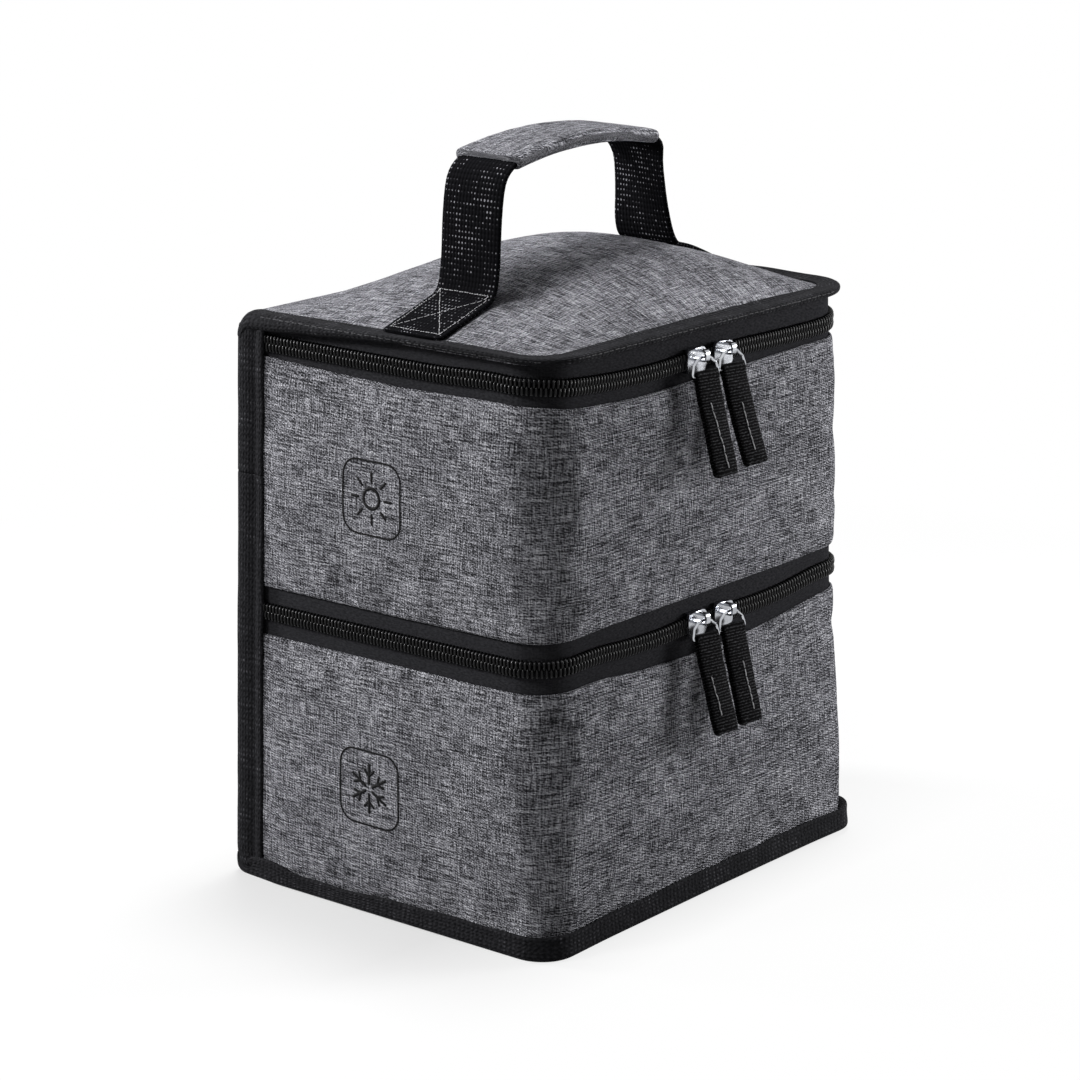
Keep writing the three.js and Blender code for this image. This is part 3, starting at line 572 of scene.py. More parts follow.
LEVELS = [(30.0, None), (BASE_TOP, "lower cloth"),
          (LOWER_ZIP_Z - CHAIN_HALF, "lower chain"), (LOWER_ZIP_Z + CHAIN_HALF, "lower chain"),
          (UPPER_BOTTOM, "middle cloth"), (185.0, None), (UPPER_TOP, "upper cloth"),
          (UPPER_ZIP_Z - CHAIN_HALF, "upper chain"), (UPPER_ZIP_Z + CHAIN_HALF, "upper chain"), (236.0, None)]
SAG_CURVES = {}
for edge, (at, lift) in SAG.items():
    run = np.arange(-STRIP_HALF, STRIP_HALF + 1)
    padded = np.pad(np.interp(run, at, lift), EASE, mode="edge")
    SAG_CURVES[edge] = (run, np.convolve(padded, np.ones(2 * EASE + 1) / (2 * EASE + 1), mode="valid"))


def sagged(point, z):
    """Moves a point of the walls or zips up or down with the sewn edges above and below it."""
    x, y, height = point
    past = max(y + half_depth(z) - FRONT_CORNER_R, 0.0)
    run = x + math.copysign(past, x)
    lifts = [float(np.interp(run, *SAG_CURVES[edge])) if edge else 0.0 for _, edge in LEVELS]
    return (x, y, height + float(np.interp(z, [level for level, _ in LEVELS], lifts)))


print("the upper chain sags by up to", round(-SAG_CURVES["upper chain"][1].min(), 1), "mm")

# %% [markdown]
# ## Padded walls
# A foam wall is cut flat and pulled into a box by its seams, so it swells a little between them and keeps
# small uneven places. It could be displaced by a formula alone. A short cloth simulation with the seams
# pinned and a light pressure behind the cloth gives the swell that real slack cloth takes, and the move is
# capped so that the wall stays in its place. Small pulls near the seams are made in the sheet before it
# settles.

# %% Cloth that settles over foam
PRESSURE, SLACK, MOST_MOVE, SETTLE_FRAMES = 1.2, 0.012, 1.2, 16


def settle(piece, pinned):
    """Runs a short cloth simulation on a sheet and keeps where its points came to rest."""
    group = piece.vertex_groups.new(name="seams")
    group.add([int(i) for i in np.flatnonzero(pinned)], 1.0, "REPLACE")
    cloth = piece.modifiers.new("cloth", "CLOTH")
    wanted = cloth.settings
    wanted.quality, wanted.mass, wanted.vertex_group_mass = 6, 0.15, "seams"
    wanted.tension_stiffness = wanted.compression_stiffness = 12
    wanted.shear_stiffness, wanted.bending_stiffness = 6, 1.5
    wanted.shrink_min = -SLACK
    wanted.use_pressure, wanted.uniform_pressure_force = True, PRESSURE
    wanted.effector_weights.gravity = 0
    cloth.point_cache.frame_start, cloth.point_cache.frame_end = 1, SETTLE_FRAMES
    before = np.array([v.co for v in piece.data.vertices])
    for step in range(1, SETTLE_FRAMES + 1):
        bpy.context.scene.frame_set(step)
    graph = bpy.context.evaluated_depsgraph_get()
    rested = piece.evaluated_get(graph).data
    after = np.empty(len(rested.vertices) * 3)
    rested.vertices.foreach_get("co", after)
    piece.modifiers.clear()
    piece.vertex_groups.clear()
    bpy.context.scene.frame_set(1)
    move = after.reshape(-1, 3) - before
    length = np.linalg.norm(move, axis=1, keepdims=True)
    move *= np.minimum(1.0, MOST_MOVE * MM / np.maximum(length, 1e-9))
    piece.data.vertices.foreach_set("co", (before + move).ravel())
    print(piece.name, "moved at most", round(float(np.linalg.norm(move, axis=1).max()) / MM, 2), "mm")


print("cloth may settle by up to", MOST_MOVE, "mm")

# %% Swell, hollows and small pulls
WALL_SWELL, CORNER_SHARE = 1.5, 0.55


def wander(*place, size):
    """A smooth random number from -1 to 1 that is always the same at the same place, in millimetres."""
    x, y, z = (tuple(place) + (0.0, 0.0))[:3]
    return noise.noise(Vector((x / size + 7.3, y / size - 2.1, z / size + 4.9)))


def wall_swell(spot, z, low, high):
    """How far the foam pushes the cloth out between its two seams."""
    run, f = spot
    belly = math.sin(math.pi * min(max((z - low) / (high - low), 0.0), 1.0)) ** 0.7
    flat = CORNER_SHARE if "corner" in run else 1.0
    from_back = {"left": f, "right": 1 - f}.get(run, 1.0)
    return WALL_SWELL * belly * flat * smooth(from_back * 6)


def wall_heights(low, high, count):
    """Pairs of a height and how far the cloth lies out there. It is turned in at both seams."""
    inner = [(low + (high - low) * i / count, 0.0) for i in range(1, count)]
    return [(low, -1.4), (low, -0.7), (low + 0.3, -0.2), *inner, (high - 0.3, -0.2), (high, -0.7), (high, -1.5)]


def padded_wall(name, body, low, high, count):
    rows = []
    for z, out in wall_heights(low, high, count):
        row = []
        for spot in WALL_SPOTS:
            if low < z < high:
                point, way = round_point(spot, z, out + wall_swell(spot, z, low, high))
                hollow = 0.45 * wander(*point, size=38.0) + 0.22 * wander(*point, size=15.0)
                pull = 0.35 * math.exp(-min(z - low, high - z) / 7.0) * wander(*point, size=9.0)
                point = tuple(p + w * (hollow + pull) for p, w in zip(point, way))
            else:
                point, way = round_point(spot, z, out)
            row.append(sagged(point, z))
        rows.append(row)
    wall = sheet_piece(name, rows, HEATHER, body)
    row, column = np.divmod(np.arange(len(rows) * len(WALL_SPOTS)), len(WALL_SPOTS))
    settle(wall, (row < 3) | (row >= len(rows) - 4) | (column < 2) | (column >= len(WALL_SPOTS) - 2))
    thicken(wall, CLOTH_THICK)
    return wall


print("walls swell by", WALL_SWELL, "mm")

# %% The two padded walls
base_wall = padded_wall("base_wall_cloth", "base", 3.0, BASE_TOP, 28)
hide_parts("base_wrap", "base_foam", "base_board")
upper_wall = padded_wall("upper_wall_cloth", "upper_box", UPPER_BOTTOM, UPPER_TOP, 25)
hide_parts("upper_wrap", "upper_foam")
print("walls:", len(base_wall.data.vertices), len(upper_wall.data.vertices), "points")

# %% [markdown]
# ## The lid and the spine
# One sheet runs from under the front edge tape, over the domed lid and down the back, and another from the
# bottom up the back. Between them they are the hinges. They meet half-way up the back, where nothing moves,
# and share their edge points, so no join shows.

# %% The dome of the lid
DOME_FRONT, DOME_BACK = -half_depth(DOME_EDGE_Z), back_edge(DOME_EDGE_Z)
DOME_MIDDLE, DOME_HALF = (DOME_BACK + DOME_FRONT) / 2, (DOME_BACK - DOME_FRONT) / 2
LEFT_FALL, RIGHT_FALL, DEPTH_FALL = 1.7, 2.75, 2.6


def crown(x, y):
    """The dome is fuller on the right, where the lid has not been pressed down."""
    def fall(t, power):
        return 1 - min(1.0, abs(t)) ** power

    wide, deep = half_width(DOME_EDGE_Z) - LID_FLAT_RIM, DOME_HALF - LID_FLAT_RIM
    aside = x - CROWN_MIDDLE
    left = fall(aside / (wide + CROWN_MIDDLE), LEFT_FALL)
    right = fall(aside / (wide - CROWN_MIDDLE), RIGHT_FALL)
    return LID_CROWN * (left if aside < 0 else right) * fall((y - DOME_MIDDLE) / deep, DEPTH_FALL)


def lid_z(x, y):
    """The height of the lid's cloth, with its soft uneven places."""
    rise = crown(x, y)
    soft = (0.7 * wander(x, y, size=45.0) + 0.3 * wander(x, y, size=17.0)) * min(1.0, rise / 6.0)
    return DOME_EDGE_Z + rise + soft


print("the dome's top is at", round(lid_z(CROWN_MIDDLE, DOME_MIDDLE), 1), "mm")

# %% Rows across the sheets that cross the spine
COLUMNS, SPINE_WRAP, ROLL_WRAP, SPINE_INSET = 44, 10.3, 9.0, 0.6
BACK_SEAMS, BACK_BELLY = (6.0, 117.0, 227.0), 1.1


def row_half_width(y, z):
    """Half the width at a place along the depth, drawn in round the front corners."""
    w, r = half_width(z), corner_radius(z)
    into = min(max(r - (y + half_depth(z)), 0.0), r)
    return w - r + math.sqrt(r * r - into**2)


def gutter(w, wrap):
    """Points across the sheet: x and how far each lies behind its face, with a rounded turn at both sides."""
    r = BACK_CORNER_R
    turn = [(w, r + (wrap - r) * t) for t in (1.0, 0.5)] if wrap > r else [(w, wrap)] * 2
    angles = [math.radians(a) for a in (90, 68, 45, 22, 0)]
    turn += [(w - r + r * math.sin(a), min(r * (1 - math.cos(a)), wrap)) for a in angles]
    flat = [((w - r) * (1 - 2 * i / COLUMNS), 0.0) for i in range(1, COLUMNS)]
    return turn + flat + [(-x, d) for x, d in reversed(turn)]


def back_swell(z):
    """How far the back swells out between the bottom and the lower fold, and between the two folds."""
    low, high = BACK_SEAMS[:2] if z < BACK_SEAMS[1] else BACK_SEAMS[1:]
    return BACK_BELLY * math.sin(math.pi * min(max((z - low) / (high - low), 0.0), 1.0)) ** 0.8


def spine_row(z):
    """A level row up the back."""
    row = []
    for x, d in gutter(half_width(z), SPINE_WRAP):
        side = max(0.0, 1 - abs(x / half_width(z)) ** 6)
        out = (back_swell(z) + 0.5 * wander(x, z, size=36.0)) * side - SPINE_INSET
        row.append((x, back_edge(z) + out - d, z))
    return row


def roll_row(angle, top):
    """A row round the roll, between the back and the lid or the bottom. angle is from the back."""
    z_centre = BODY_HEIGHT - SPINE_ROLL_R if top else SPINE_ROLL_R
    reach, a = SPINE_ROLL_R - SPINE_INSET, math.radians(angle)
    rise = math.sin(a) if top else -math.sin(a)
    z = z_centre + reach * rise
    centre_y = half_depth(z) - SPINE_ROLL_R
    return [(x, centre_y + (reach - d) * math.cos(a), z_centre + (reach - d) * rise)
            for x, d in gutter(half_width(z), ROLL_WRAP)]


def turn_grain(piece):
    """The streaks of these sheets run from front to back, so their cloth is cut the other way round."""
    layer = piece.data.uv_layers["cloth"].data
    flat = np.empty(len(layer) * 2)
    layer.foreach_get("uv", flat)
    layer.foreach_set("uv", flat.reshape(-1, 2)[:, ::-1].ravel())


print("a row up the back has", len(gutter(half_width(SPLIT_Z), SPINE_WRAP)), "points")


# %% The lid and the upper back
def dome_row(y):
    w = row_half_width(y, DOME_EDGE_Z) - 0.8
    row = []
    for x, d in gutter(w, 5.0):
        x_in = max(-w + 0.4, min(w - 0.4, x))
        row.append((x, y, lid_z(x_in, y) - min(d, 0.6)))
    return row


back_rows = [spine_row(z) for z in np.linspace(SPLIT_Z, 229.0, 30)]
roll_rows = [roll_row(a, True) for a in (12, 26, 40, 52)]
corner_ys = [DOME_FRONT + FRONT_CORNER_R * (1 - math.sin(math.radians(a))) for a in range(6, 90, 8)]
dome_ys = [*np.linspace(DOME_BACK - 2.0, DOME_FRONT + FRONT_CORNER_R + 1, 34), *corner_ys]
dome_rows = [dome_row(y) for y in dome_ys]
front_skirt = [[(x, y + 0.3, z - drop) for x, y, z in dome_rows[-1]] for drop in (0.3, 0.6)]
lid_cloth = sheet_piece("lid_and_back_cloth", back_rows + roll_rows + dome_rows + front_skirt, HEATHER)
turn_grain(lid_cloth)
thicken(lid_cloth, CLOTH_THICK)
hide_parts("lid_panel", "lid_foam")
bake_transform(lid_cloth)
print("lid sheet:", len(lid_cloth.data.vertices), "points")

# %% [markdown]
# ## The bottom
# The bottom and the lower back are one sheet as well. It could be a flat plate with a back wall joined to it,
# but the real cloth rolls round that edge without a seam, so its rows go round the roll too. It lies half a
# millimetre off the floor, because the edge tape under its rim carries the bag.

# %% The bottom and the lower back
BOTTOM_LIFT, BOTTOM_WRAP = 0.5, 6.0


def bottom_row(y):
    w = row_half_width(y, 0.0) - 0.6
    return [(x, y, BOTTOM_LIFT + min(d, BOTTOM_WRAP)) for x, d in gutter(w, BOTTOM_WRAP)]


corner_ys = [-half_depth(0) + 0.8 + corner_radius(0) * (1 - math.sin(math.radians(a)))
             for a in range(88, 0, -8)]
bottom_ys = [*corner_ys, *np.linspace(-half_depth(0) + 15, half_depth(0) - SPINE_ROLL_R - 0.5, 27)]
lower_rolls = [roll_row(a, False) for a in (78, 62, 46, 30, 14)]
lower_back = [spine_row(z) for z in np.linspace(11.0, SPLIT_Z, 70)]
bottom_rows = [bottom_row(y) for y in bottom_ys]
base_cloth = sheet_piece("bottom_and_back_cloth", bottom_rows + lower_rolls + lower_back, HEATHER)
turn_grain(base_cloth)
thicken(base_cloth, CLOTH_THICK)
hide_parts("base_panel", "upper_back_panel")
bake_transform(base_cloth)
print("base sheet:", len(base_cloth.data.vertices), "points")

# %% [markdown]
# ## Edge tape
# Where two panels meet, their raw edges stand out as a thin fin, and a folded tape wraps it. The tape is a
# swept outline: across the tape it is a soft fold with a lip, and along it the fold follows the edge round
# its corners. A curve with a bevel would twist at the corners, so every station here carries its own two
# directions.


# %% Sweeping a folded tape
def sweep(name, spots, outline, fit, body=None):
    """spots are (place, outward, towards the edge). outline is pairs of outward and edgeward distances."""
    rows = []
    for at, outward, edgeward in spots:
        at, outward, edgeward = map(np.array, (at, outward, edgeward))
        rows.append([fit(k, at + outward * n + edgeward * e, outward) for k, (n, e) in enumerate(outline)])
    along, across = lengths_along([row[2] for row in rows]), lengths_along(outline)
    flat = np.array([(a, c) for a in along for c in across])
    piece = sheet_piece(name, rows, EDGE_TAPE, body, around=True, ends=True, flat=flat)
    rounded(piece)
    return piece


LOWER_CORNER_BULGE = 0.17


def edge_path(top):
    """The line that the tape's outer edge follows: up or down the back corners and round the front."""
    level, sign, bulge = (LID_LEVEL, 1.0, 0.0) if top else (0.0, -1.0, LOWER_CORNER_BULGE)
    r = SPINE_ROLL_R
    z_centre = level - sign * r
    w, back = half_width(level), half_depth(level) - r
    corners = {}
    for side in (-1, 1):
        corners[side] = []
        for angle in range(0, 90, 15):
            a = math.radians(angle)
            way = (0.0, math.cos(a), sign * math.sin(a))
            far = r * (1 + bulge * math.sin(2 * a))
            point = (side * w, back + far * way[1], z_centre + far * way[2])
            corners[side].append((point, (side, 0.0, 0.0), way))
    around = [(*round_point(spot, level, 0.0, SPINE_ROLL_R), (0.0, 0.0, sign)) for spot in stations(30, 12, 40)]
    return corners[-1] + around + corners[1][::-1]


print("places along the lid's tape:", len(edge_path(True)))

# %% Tape round the lid
LID_TAPE = [(-1.0, -4.4), (0.6, -5.2), (2.4, -4.9), (3.4, -3.7), (3.5, -2.2), (2.5, -0.6), (0.6, 0.7),
            (-2.6, 0.9), (-5.4, 0.9), (-6.6, 0.7), (-6.7, -0.2), (-3.0, -0.3), (-1.3, -1.2), (-1.0, -3.0)]
# Which of those points lie on the lid's cloth, which hang down, which swell out, which face out, and which one
# is the turn of the fold.
ON_CLOTH, HANGING, SWOLLEN, FACING, FOLD = range(7, 12), (0, 1, 2, 3, 4, 5, 13), range(1, 5), range(1, 7), 5
# How far the tape's fold hangs above or below its line, from the front of the bag to its back.
DROOP_Y = [-84.0, -80.0, -60.0, -30.0, -10.0, 21.0, 42.0, 64.0, 80.0]
DROOP_Z = [2.2, 2.3, 3.3, 3.3, 2.9, 1.4, 0.2, -1.4, -1.8]


def fit_lid_tape(k, point, outward):
    """The tape's upper leg lies on the lid. Its fold hangs by its own weight, lower towards the back."""
    x, y, z = point
    if k in ON_CLOTH and y < half_depth(BODY_HEIGHT) - 8:
        z = lid_z(x, y) + LID_TAPE[k][1]
    elif k in HANGING:
        z += float(np.interp(y, DROOP_Y, DROOP_Z)) * (0.55 if k == FOLD else 1.0)
    wave = 0.5 * wander(x, y, z, size=20.0) + 0.3 * wander(x, y, z, size=8.0)
    stand = 0.5 * wander(x, y, z, size=13.0) if k in SWOLLEN else 0.0
    if k in FACING:
        stand -= 1.3 * smooth((y - 60.0) / 14.0)
    if x > 0:
        z -= (0.6 if k in ON_CLOTH else 2.0) * smooth((y - 30.0) / 40.0)
    z += wave * (0.3 if k in ON_CLOTH else 1.0)
    return (x + outward[0] * stand, y + outward[1] * stand, z)


lid_tape = sweep("lid_edge_tape", edge_path(True), LID_TAPE, fit_lid_tape, "lid")
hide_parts("lid_binding")
print("lid tape:", len(lid_tape.data.vertices), "points")

# %% [markdown]
# ## Tape round the bottom
# The same tape goes round the bottom. Its lower edge lies on the floor, and its upper lip stands off the wall
# and waves, because nothing holds it there. The waves could be sculpted by hand. They are smooth noise and a
# few measured heights here, so they come out the same each time the script runs.

# %% Tape round the bottom
BASE_TAPE = [(-0.8, -7.6), (1.2, -9.0), (2.2, -9.4), (2.8, -8.3), (2.7, -6.4), (3.2, -4.2), (3.6, -2.0),
             (3.5, -0.5), (2.4, -0.05), (-3.0, -0.05), (-7.6, -0.1), (-7.7, -0.6), (-3.0, -0.7), (-1.0, -1.8),
             (-0.9, -5.0)]
# Which of those points are the lip, the fold under it, and the whole outer face.
LIP, LOW_FOLD, OUTER_FACE = range(1, 5), range(5, 8), range(1, 9)
# The lip's height above or below its level along the side, and how far the front edge is off the floor.
BASE_LIP_Y, BASE_LIP_Z = [-62.0, -35.0, -5.0, 20.0, 45.0, 66.0], [0.8, 0.3, -1.0, -2.4, -2.2, 0.6]
FRONT_LIFT_X, FRONT_LIFT_Z = [-100.0, -70.0, 0.0, 70.0, 104.0], [0.0, 0.9, 1.7, 1.9, 1.4]


def fit_base_tape(k, point, outward):
    """The tape's upper lip stands off the wall in soft waves, and its lower edge lies on the floor."""
    x, y, z = point
    wave = 0.7 * wander(x, y, z, size=24.0) + 0.4 * wander(x, y, z, size=10.0)
    wave += float(np.interp(y, BASE_LIP_Y, BASE_LIP_Z))
    high, at_back = smooth((z - 1.0) / 8.0), smooth((y - 58.0) / 14.0)
    stand = (0.7 * wander(x, y, z, size=15.0) + 0.3) * high if k in LIP else 0.0
    if k in OUTER_FACE:
        stand -= at_back * (2.3 if k in LOW_FOLD else 1.6)
    y -= 1.8 * smooth((y - 70.0) / 9.0) * smooth((z - 1.0) / 5.0)
    z += float(np.interp(x, FRONT_LIFT_X, FRONT_LIFT_Z)) * (1 - smooth((y + 70.0) / 30.0))
    return (x + outward[0] * stand, y + outward[1] * stand, max(z + wave * high * (1 - at_back), 0.02))


base_tape = sweep("base_edge_tape", edge_path(False), BASE_TAPE, fit_base_tape, "base")
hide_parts("base_binding")
print("base tape:", len(base_tape.data.vertices), "points")

# %% Tape down both back corners
SPINE_TAPE = [(-0.6, -15.0), (0.3, -15.8), (1.1, -15.6), (1.5, -14.4), (1.2, -12.6), (0.3, -11.2),
              (1.1, -9.6), (1.8, -6.8), (1.9, -4.4), (1.3, -2.0), (-0.1, -0.4), (-2.2, 0.2), (-5.0, 0.3),
              (-8.6, 0.1), (-8.8, -0.8), (-4.4, -1.6), (-1.6, -3.2), (-0.8, -9.0)]
SIDE_LEG = 6


def fit_spine_tape(k, point, outward):
    """The leg on the side wall has a wavy edge. The rest keeps close to the corner."""
    x, y, z = point
    wave = 0.45 * wander(x, y, z, size=26.0) + 0.25 * wander(x, y, z, size=10.0)
    return (x + 0.5 * wave * outward[0], y + wave * (1.0 if k < SIDE_LEG else 0.3), z)


def spine_tape(side, low, high, name):
    inner = np.linspace(low + 0.1, high - 0.1, int((high - low) / 4.0))
    spots = [((side * half_width(z), back_edge(z), z), (side, 0.0, 0.0), (0.0, 1.0, 0.0))
             for z in (low, *inner, high)]
    return sweep(name, spots, SPINE_TAPE, fit_spine_tape)


for side, word in ((-1, "left"), (1, "right")):
    lower = spine_tape(side, 4.0, SPLIT_Z, f"spine_tape_lower_{word}")
    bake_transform(lower)
    upper = spine_tape(side, SPLIT_Z, 233.0, f"spine_tape_upper_{word}")
    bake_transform(upper)
    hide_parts(f"upper_binding_{word}")
    print(word, "back corner:", len(lower.data.vertices) + len(upper.data.vertices), "points")

# %% [markdown]
# ## Zips
# A coil zip is a nylon wire wound into loops and sewn to the edge of a tape. Two of them mesh, so from
# outside there are two rows of ribs, set half a pitch apart, with the sewing showing as dots. Each rib is
# real geometry here, because a bump would lose the ragged edge where ribs meet. The pitch measured is 1.8 mm.

# %% Zip tapes
TAPE_BEHIND = 1.5


def zip_tape(name, body, low, high, node_name):
    rows = []
    for z in (low + (high - low) * i / 6 for i in range(7)):
        row = []
        for spot in WALL_SPOTS:
            out = 0.12 * wander(spot[1] * 60, z, size=9.0) - TAPE_BEHIND
            row.append(sagged(round_point(spot, z, out)[0], z))
        rows.append(row)
    tape = sheet_piece(name, rows, ZIP_TAPE, body)
    thicken(tape, TAPE_THICK)
    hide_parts(node_name)


zip_tape("lower_zip_tape_below", "base", 101.0, 116.0, "lower_zip_bottom_tape")
zip_tape("lower_zip_tape_above", "upper_box", 118.0, 132.0, "lower_zip_top_tape")
zip_tape("upper_zip_tape_below", "upper_box", 214.0, 226.5, "upper_zip_bottom_tape")
zip_tape("upper_zip_tape_above", "lid", 228.5, 238.0, "upper_zip_top_tape")
print("zip tapes lie", TAPE_BEHIND, "mm behind the cloth")

# %% [markdown]
# ## Coils
# Every loop of a coil is the same, so one loop is drawn and copied along the zip, a pitch apart. An array
# modifier could do that along a curve, but it would bend the loops in the corners. Here each copy has its own
# three directions, so the loops stay whole. The threads of the sewing between them are laid in the same way.


# %% Places along a zip, and many copies of one piece
def place(origin, x_axis, y_axis, z_axis):
    matrix = np.eye(4)
    matrix[:3, 0], matrix[:3, 1], matrix[:3, 2], matrix[:3, 3] = x_axis, y_axis, z_axis, origin
    return matrix


def join_copies(name, unit_points, unit_faces, places, material, body):
    """Many copies of one small piece as one mesh. places are 4 by 4 arrays in millimetres."""
    unit = np.c_[np.asarray(unit_points, float), np.ones(len(unit_points))]
    points = np.concatenate([(place @ unit.T).T[:, :3] for place in places])
    count = len(unit_points)
    faces = [tuple(v + i * count for v in face) for i in range(len(places)) for face in unit_faces]
    return mesh_piece(name, points, faces, material, np.zeros((len(points), 2)), body)


def walk(z, pitch, out):
    """Evenly spaced places along a zip, each with its outward, along and up directions."""
    points, ways = [], []
    for spot in stations(80, 40, 120):
        point, way = round_point(spot, z, out, tuck=13.0)
        points.append(sagged(point, z))
        ways.append(way)
    points, ways, lengths = np.array(points), np.array(ways), lengths_along(points)
    spots = []
    for s in np.arange(pitch, lengths[-1] - pitch, pitch):
        k = min(int(np.searchsorted(lengths, s)), len(points) - 1)
        t = (s - lengths[k - 1]) / (lengths[k] - lengths[k - 1])
        along = (points[k] - points[k - 1]) / np.linalg.norm(points[k] - points[k - 1])
        outward = ways[k - 1] * (1 - t) + ways[k] * t
        outward /= np.linalg.norm(outward)
        up = np.cross(outward, along)
        spots.append((points[k - 1] * (1 - t) + points[k] * t, outward, along, up if up[2] > 0 else -up))
    return spots


COIL_PITCH, COIL_REACH, DOT = 1.8, 3.2, 0.36
print("loops on one side of a zip:", len(walk(LOWER_ZIP_Z, COIL_PITCH, -0.2)))


# %% Coils and the sewing between their loops
def coil_loop():
    """One loop of the coil: a bar that rises from the tape's edge and dips where the two sides mesh."""
    spine = [(-COIL_REACH, -1.2), (-COIL_REACH + 0.1, -0.2), (-2.5, 0.35), (-1.5, 0.5), (-0.5, 0.35),
             (0.35, -0.1), (0.45, -0.9)]
    radii = [0.45, 0.52, 0.55, 0.55, 0.52, 0.46, 0.36]
    sides, points = 6, []
    for i, (up, out) in enumerate(spine):
        run = np.subtract(spine[min(i + 1, len(spine) - 1)], spine[max(i - 1, 0)])
        run /= np.linalg.norm(run)
        for k in range(sides):
            a = 2 * math.pi * k / sides
            x, r = math.cos(a) * radii[i], math.sin(a) * radii[i]
            points.append((x, out + r * run[0], up - r * run[1]))
    return points, grid_faces(len(spine), sides, around=True, ends=True)


def stitch_dot():
    """A short thread that shows between two loops."""
    corners = ((-1, 0, -0.6), (-1, 0, 0.6), (-0.5, 1, -1), (-0.5, 1, 1),
               (0.5, 1, -1), (0.5, 1, 1), (1, 0, -0.6), (1, 0, 0.6))
    faces = [(0, 1, 3, 2), (2, 3, 5, 4), (4, 5, 7, 6), (0, 2, 4, 6), (1, 7, 5, 3), (0, 6, 7, 1)]
    return [(x * 0.55, y * DOT * 0.8, z * DOT) for x, y, z in corners], faces


def coil_side(name, z, side, body, node_name):
    """One side of a zip's chain. The upper side's loops stand half a pitch further on."""
    loops, dots = [], []
    for at, outward, along, up in walk(z, COIL_PITCH, -0.2):
        at = at + along * (COIL_PITCH / 2 if side > 0 else 0.0)
        loops.append(place(at, along, outward, -side * up))
        dots.append(place(at + up * side * 2.75 + outward * 0.3, along * 0.8, outward, up))
    coil = join_copies(name, *coil_loop(), loops, COIL_NYLON, body)
    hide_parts(node_name)
    sewing = join_copies(f"{name}_stitches", *stitch_dot(), dots, DIM_THREAD, body)
    print(name, len(loops), "loops")


for word, z, below, above in (
    ("lower", LOWER_ZIP_Z, "base", "upper_box"),
    ("upper", UPPER_ZIP_Z, "upper_box", "lid"),
):
    for half, side, body in (("bottom", -1, below), ("top", 1, above)):
        coil_side(f"{word}_coil_{half}", z, side, body, f"{word}_zip_{half}_coil")

# %% [markdown]
# ## Linings
# Inside, each compartment is a tub of silver film over foam, with its lip turned out over the wall. It shows
# only when a zip is open, but a bag is judged open too. The tub could be one sheet down to a point in its
# middle, but the film would bunch up there, so its walls are rings and its floor is a sheet of its own.


# %% A flat lining
def flat_lining(name, body, level, inset, height):
    """A sheet of film right across the bag, in rows from front to back. height gives its level at a place."""
    w, front, back = half_width(level) - inset, inset - half_depth(level), back_edge(level) - inset
    r = max(FRONT_CORNER_R - inset, 3.0)
    quarter = np.linspace(0, math.pi / 2, 7)
    outline = [(front + r * (1 - math.cos(a)), w - r * (1 - math.sin(a))) for a in quarter]
    outline += [(y, w) for y in np.linspace(front + r, back, 22)[1:]]
    rows = [[(x, y, height(x, y) + 0.4 * wander(x, y, size=20.0)) for x in np.linspace(-half, half, 30)]
            for y, half in outline]
    film = sheet_piece(name, rows, FILM, body)
    thicken(film, FILM_THICK, soft=False)
    return film


LIP_INSET = 2.9
print("the film's lip lies", LIP_INSET, "mm inside the cloth")


# %% The two tubs of film
def ring_points(z, inset):
    """A closed outline inside the wall."""
    w, d, b = half_width(z) - inset, half_depth(z) - inset, back_edge(z) - inset
    r = max(FRONT_CORNER_R - inset, 3.0)
    quarter = np.linspace(0, math.pi / 2, 7)[:-1]
    side, front = np.arange(14) / 14, np.arange(16) / 16
    ring = [(-w, b - (b + d - r) * t) for t in side]
    ring += [(r - w - r * math.cos(a), r - d - r * math.sin(a)) for a in quarter]
    ring += [(r - w + 2 * (w - r) * t, -d) for t in front]
    ring += [(w - r + r * math.sin(a), r - d - r * math.cos(a)) for a in quarter]
    ring += [(w, r - d + (b + d - r) * t) for t in side]
    ring += [(w - 2 * w * t, b) for t in front]
    return [(x, y, z) for x, y in ring]


def lining_tub(name, body, floor, top, replaced):
    rings = [ring_points(top - 0.2, LIP_INSET), ring_points(top, LIP_INSET + 1.5), ring_points(top - 0.1, 7.0)]
    rings += [ring_points(z, 8.0) for z in np.linspace(floor + 1.5, top - 0.6, 20)[::-1]]
    rings += [ring_points(floor, 9.0), ring_points(floor, 12.0)]
    rows = []
    for ring in rings:
        rows.append([])
        for x, y, z in ring:
            soft = 0.55 * wander(x, y, z, size=22.0)
            z = z + (soft if z < floor + 0.1 else 0.0)
            point = (x * (1 + soft / 110), y * (1 + soft / 90), z)
            rows[-1].append(sagged(point, z) if z > floor + 1 else point)
    tub = sheet_piece(name, rows, FILM, body, around=True)
    for polygon in tub.data.polygons:
        polygon.flip()
    thicken(tub, FILM_THICK, soft=False)
    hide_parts(replaced)
    flat_lining(f"{name}_floor", body, floor, 8.6, lambda x, y: floor + 0.4)
    print(name, len(tub.data.vertices), "points")


lining_tub("base_lining_film", "base", 9.2, 104.4, "base_lining")
lining_tub("upper_lining_film", "upper_box", 133.0, 217.4, "upper_lining")

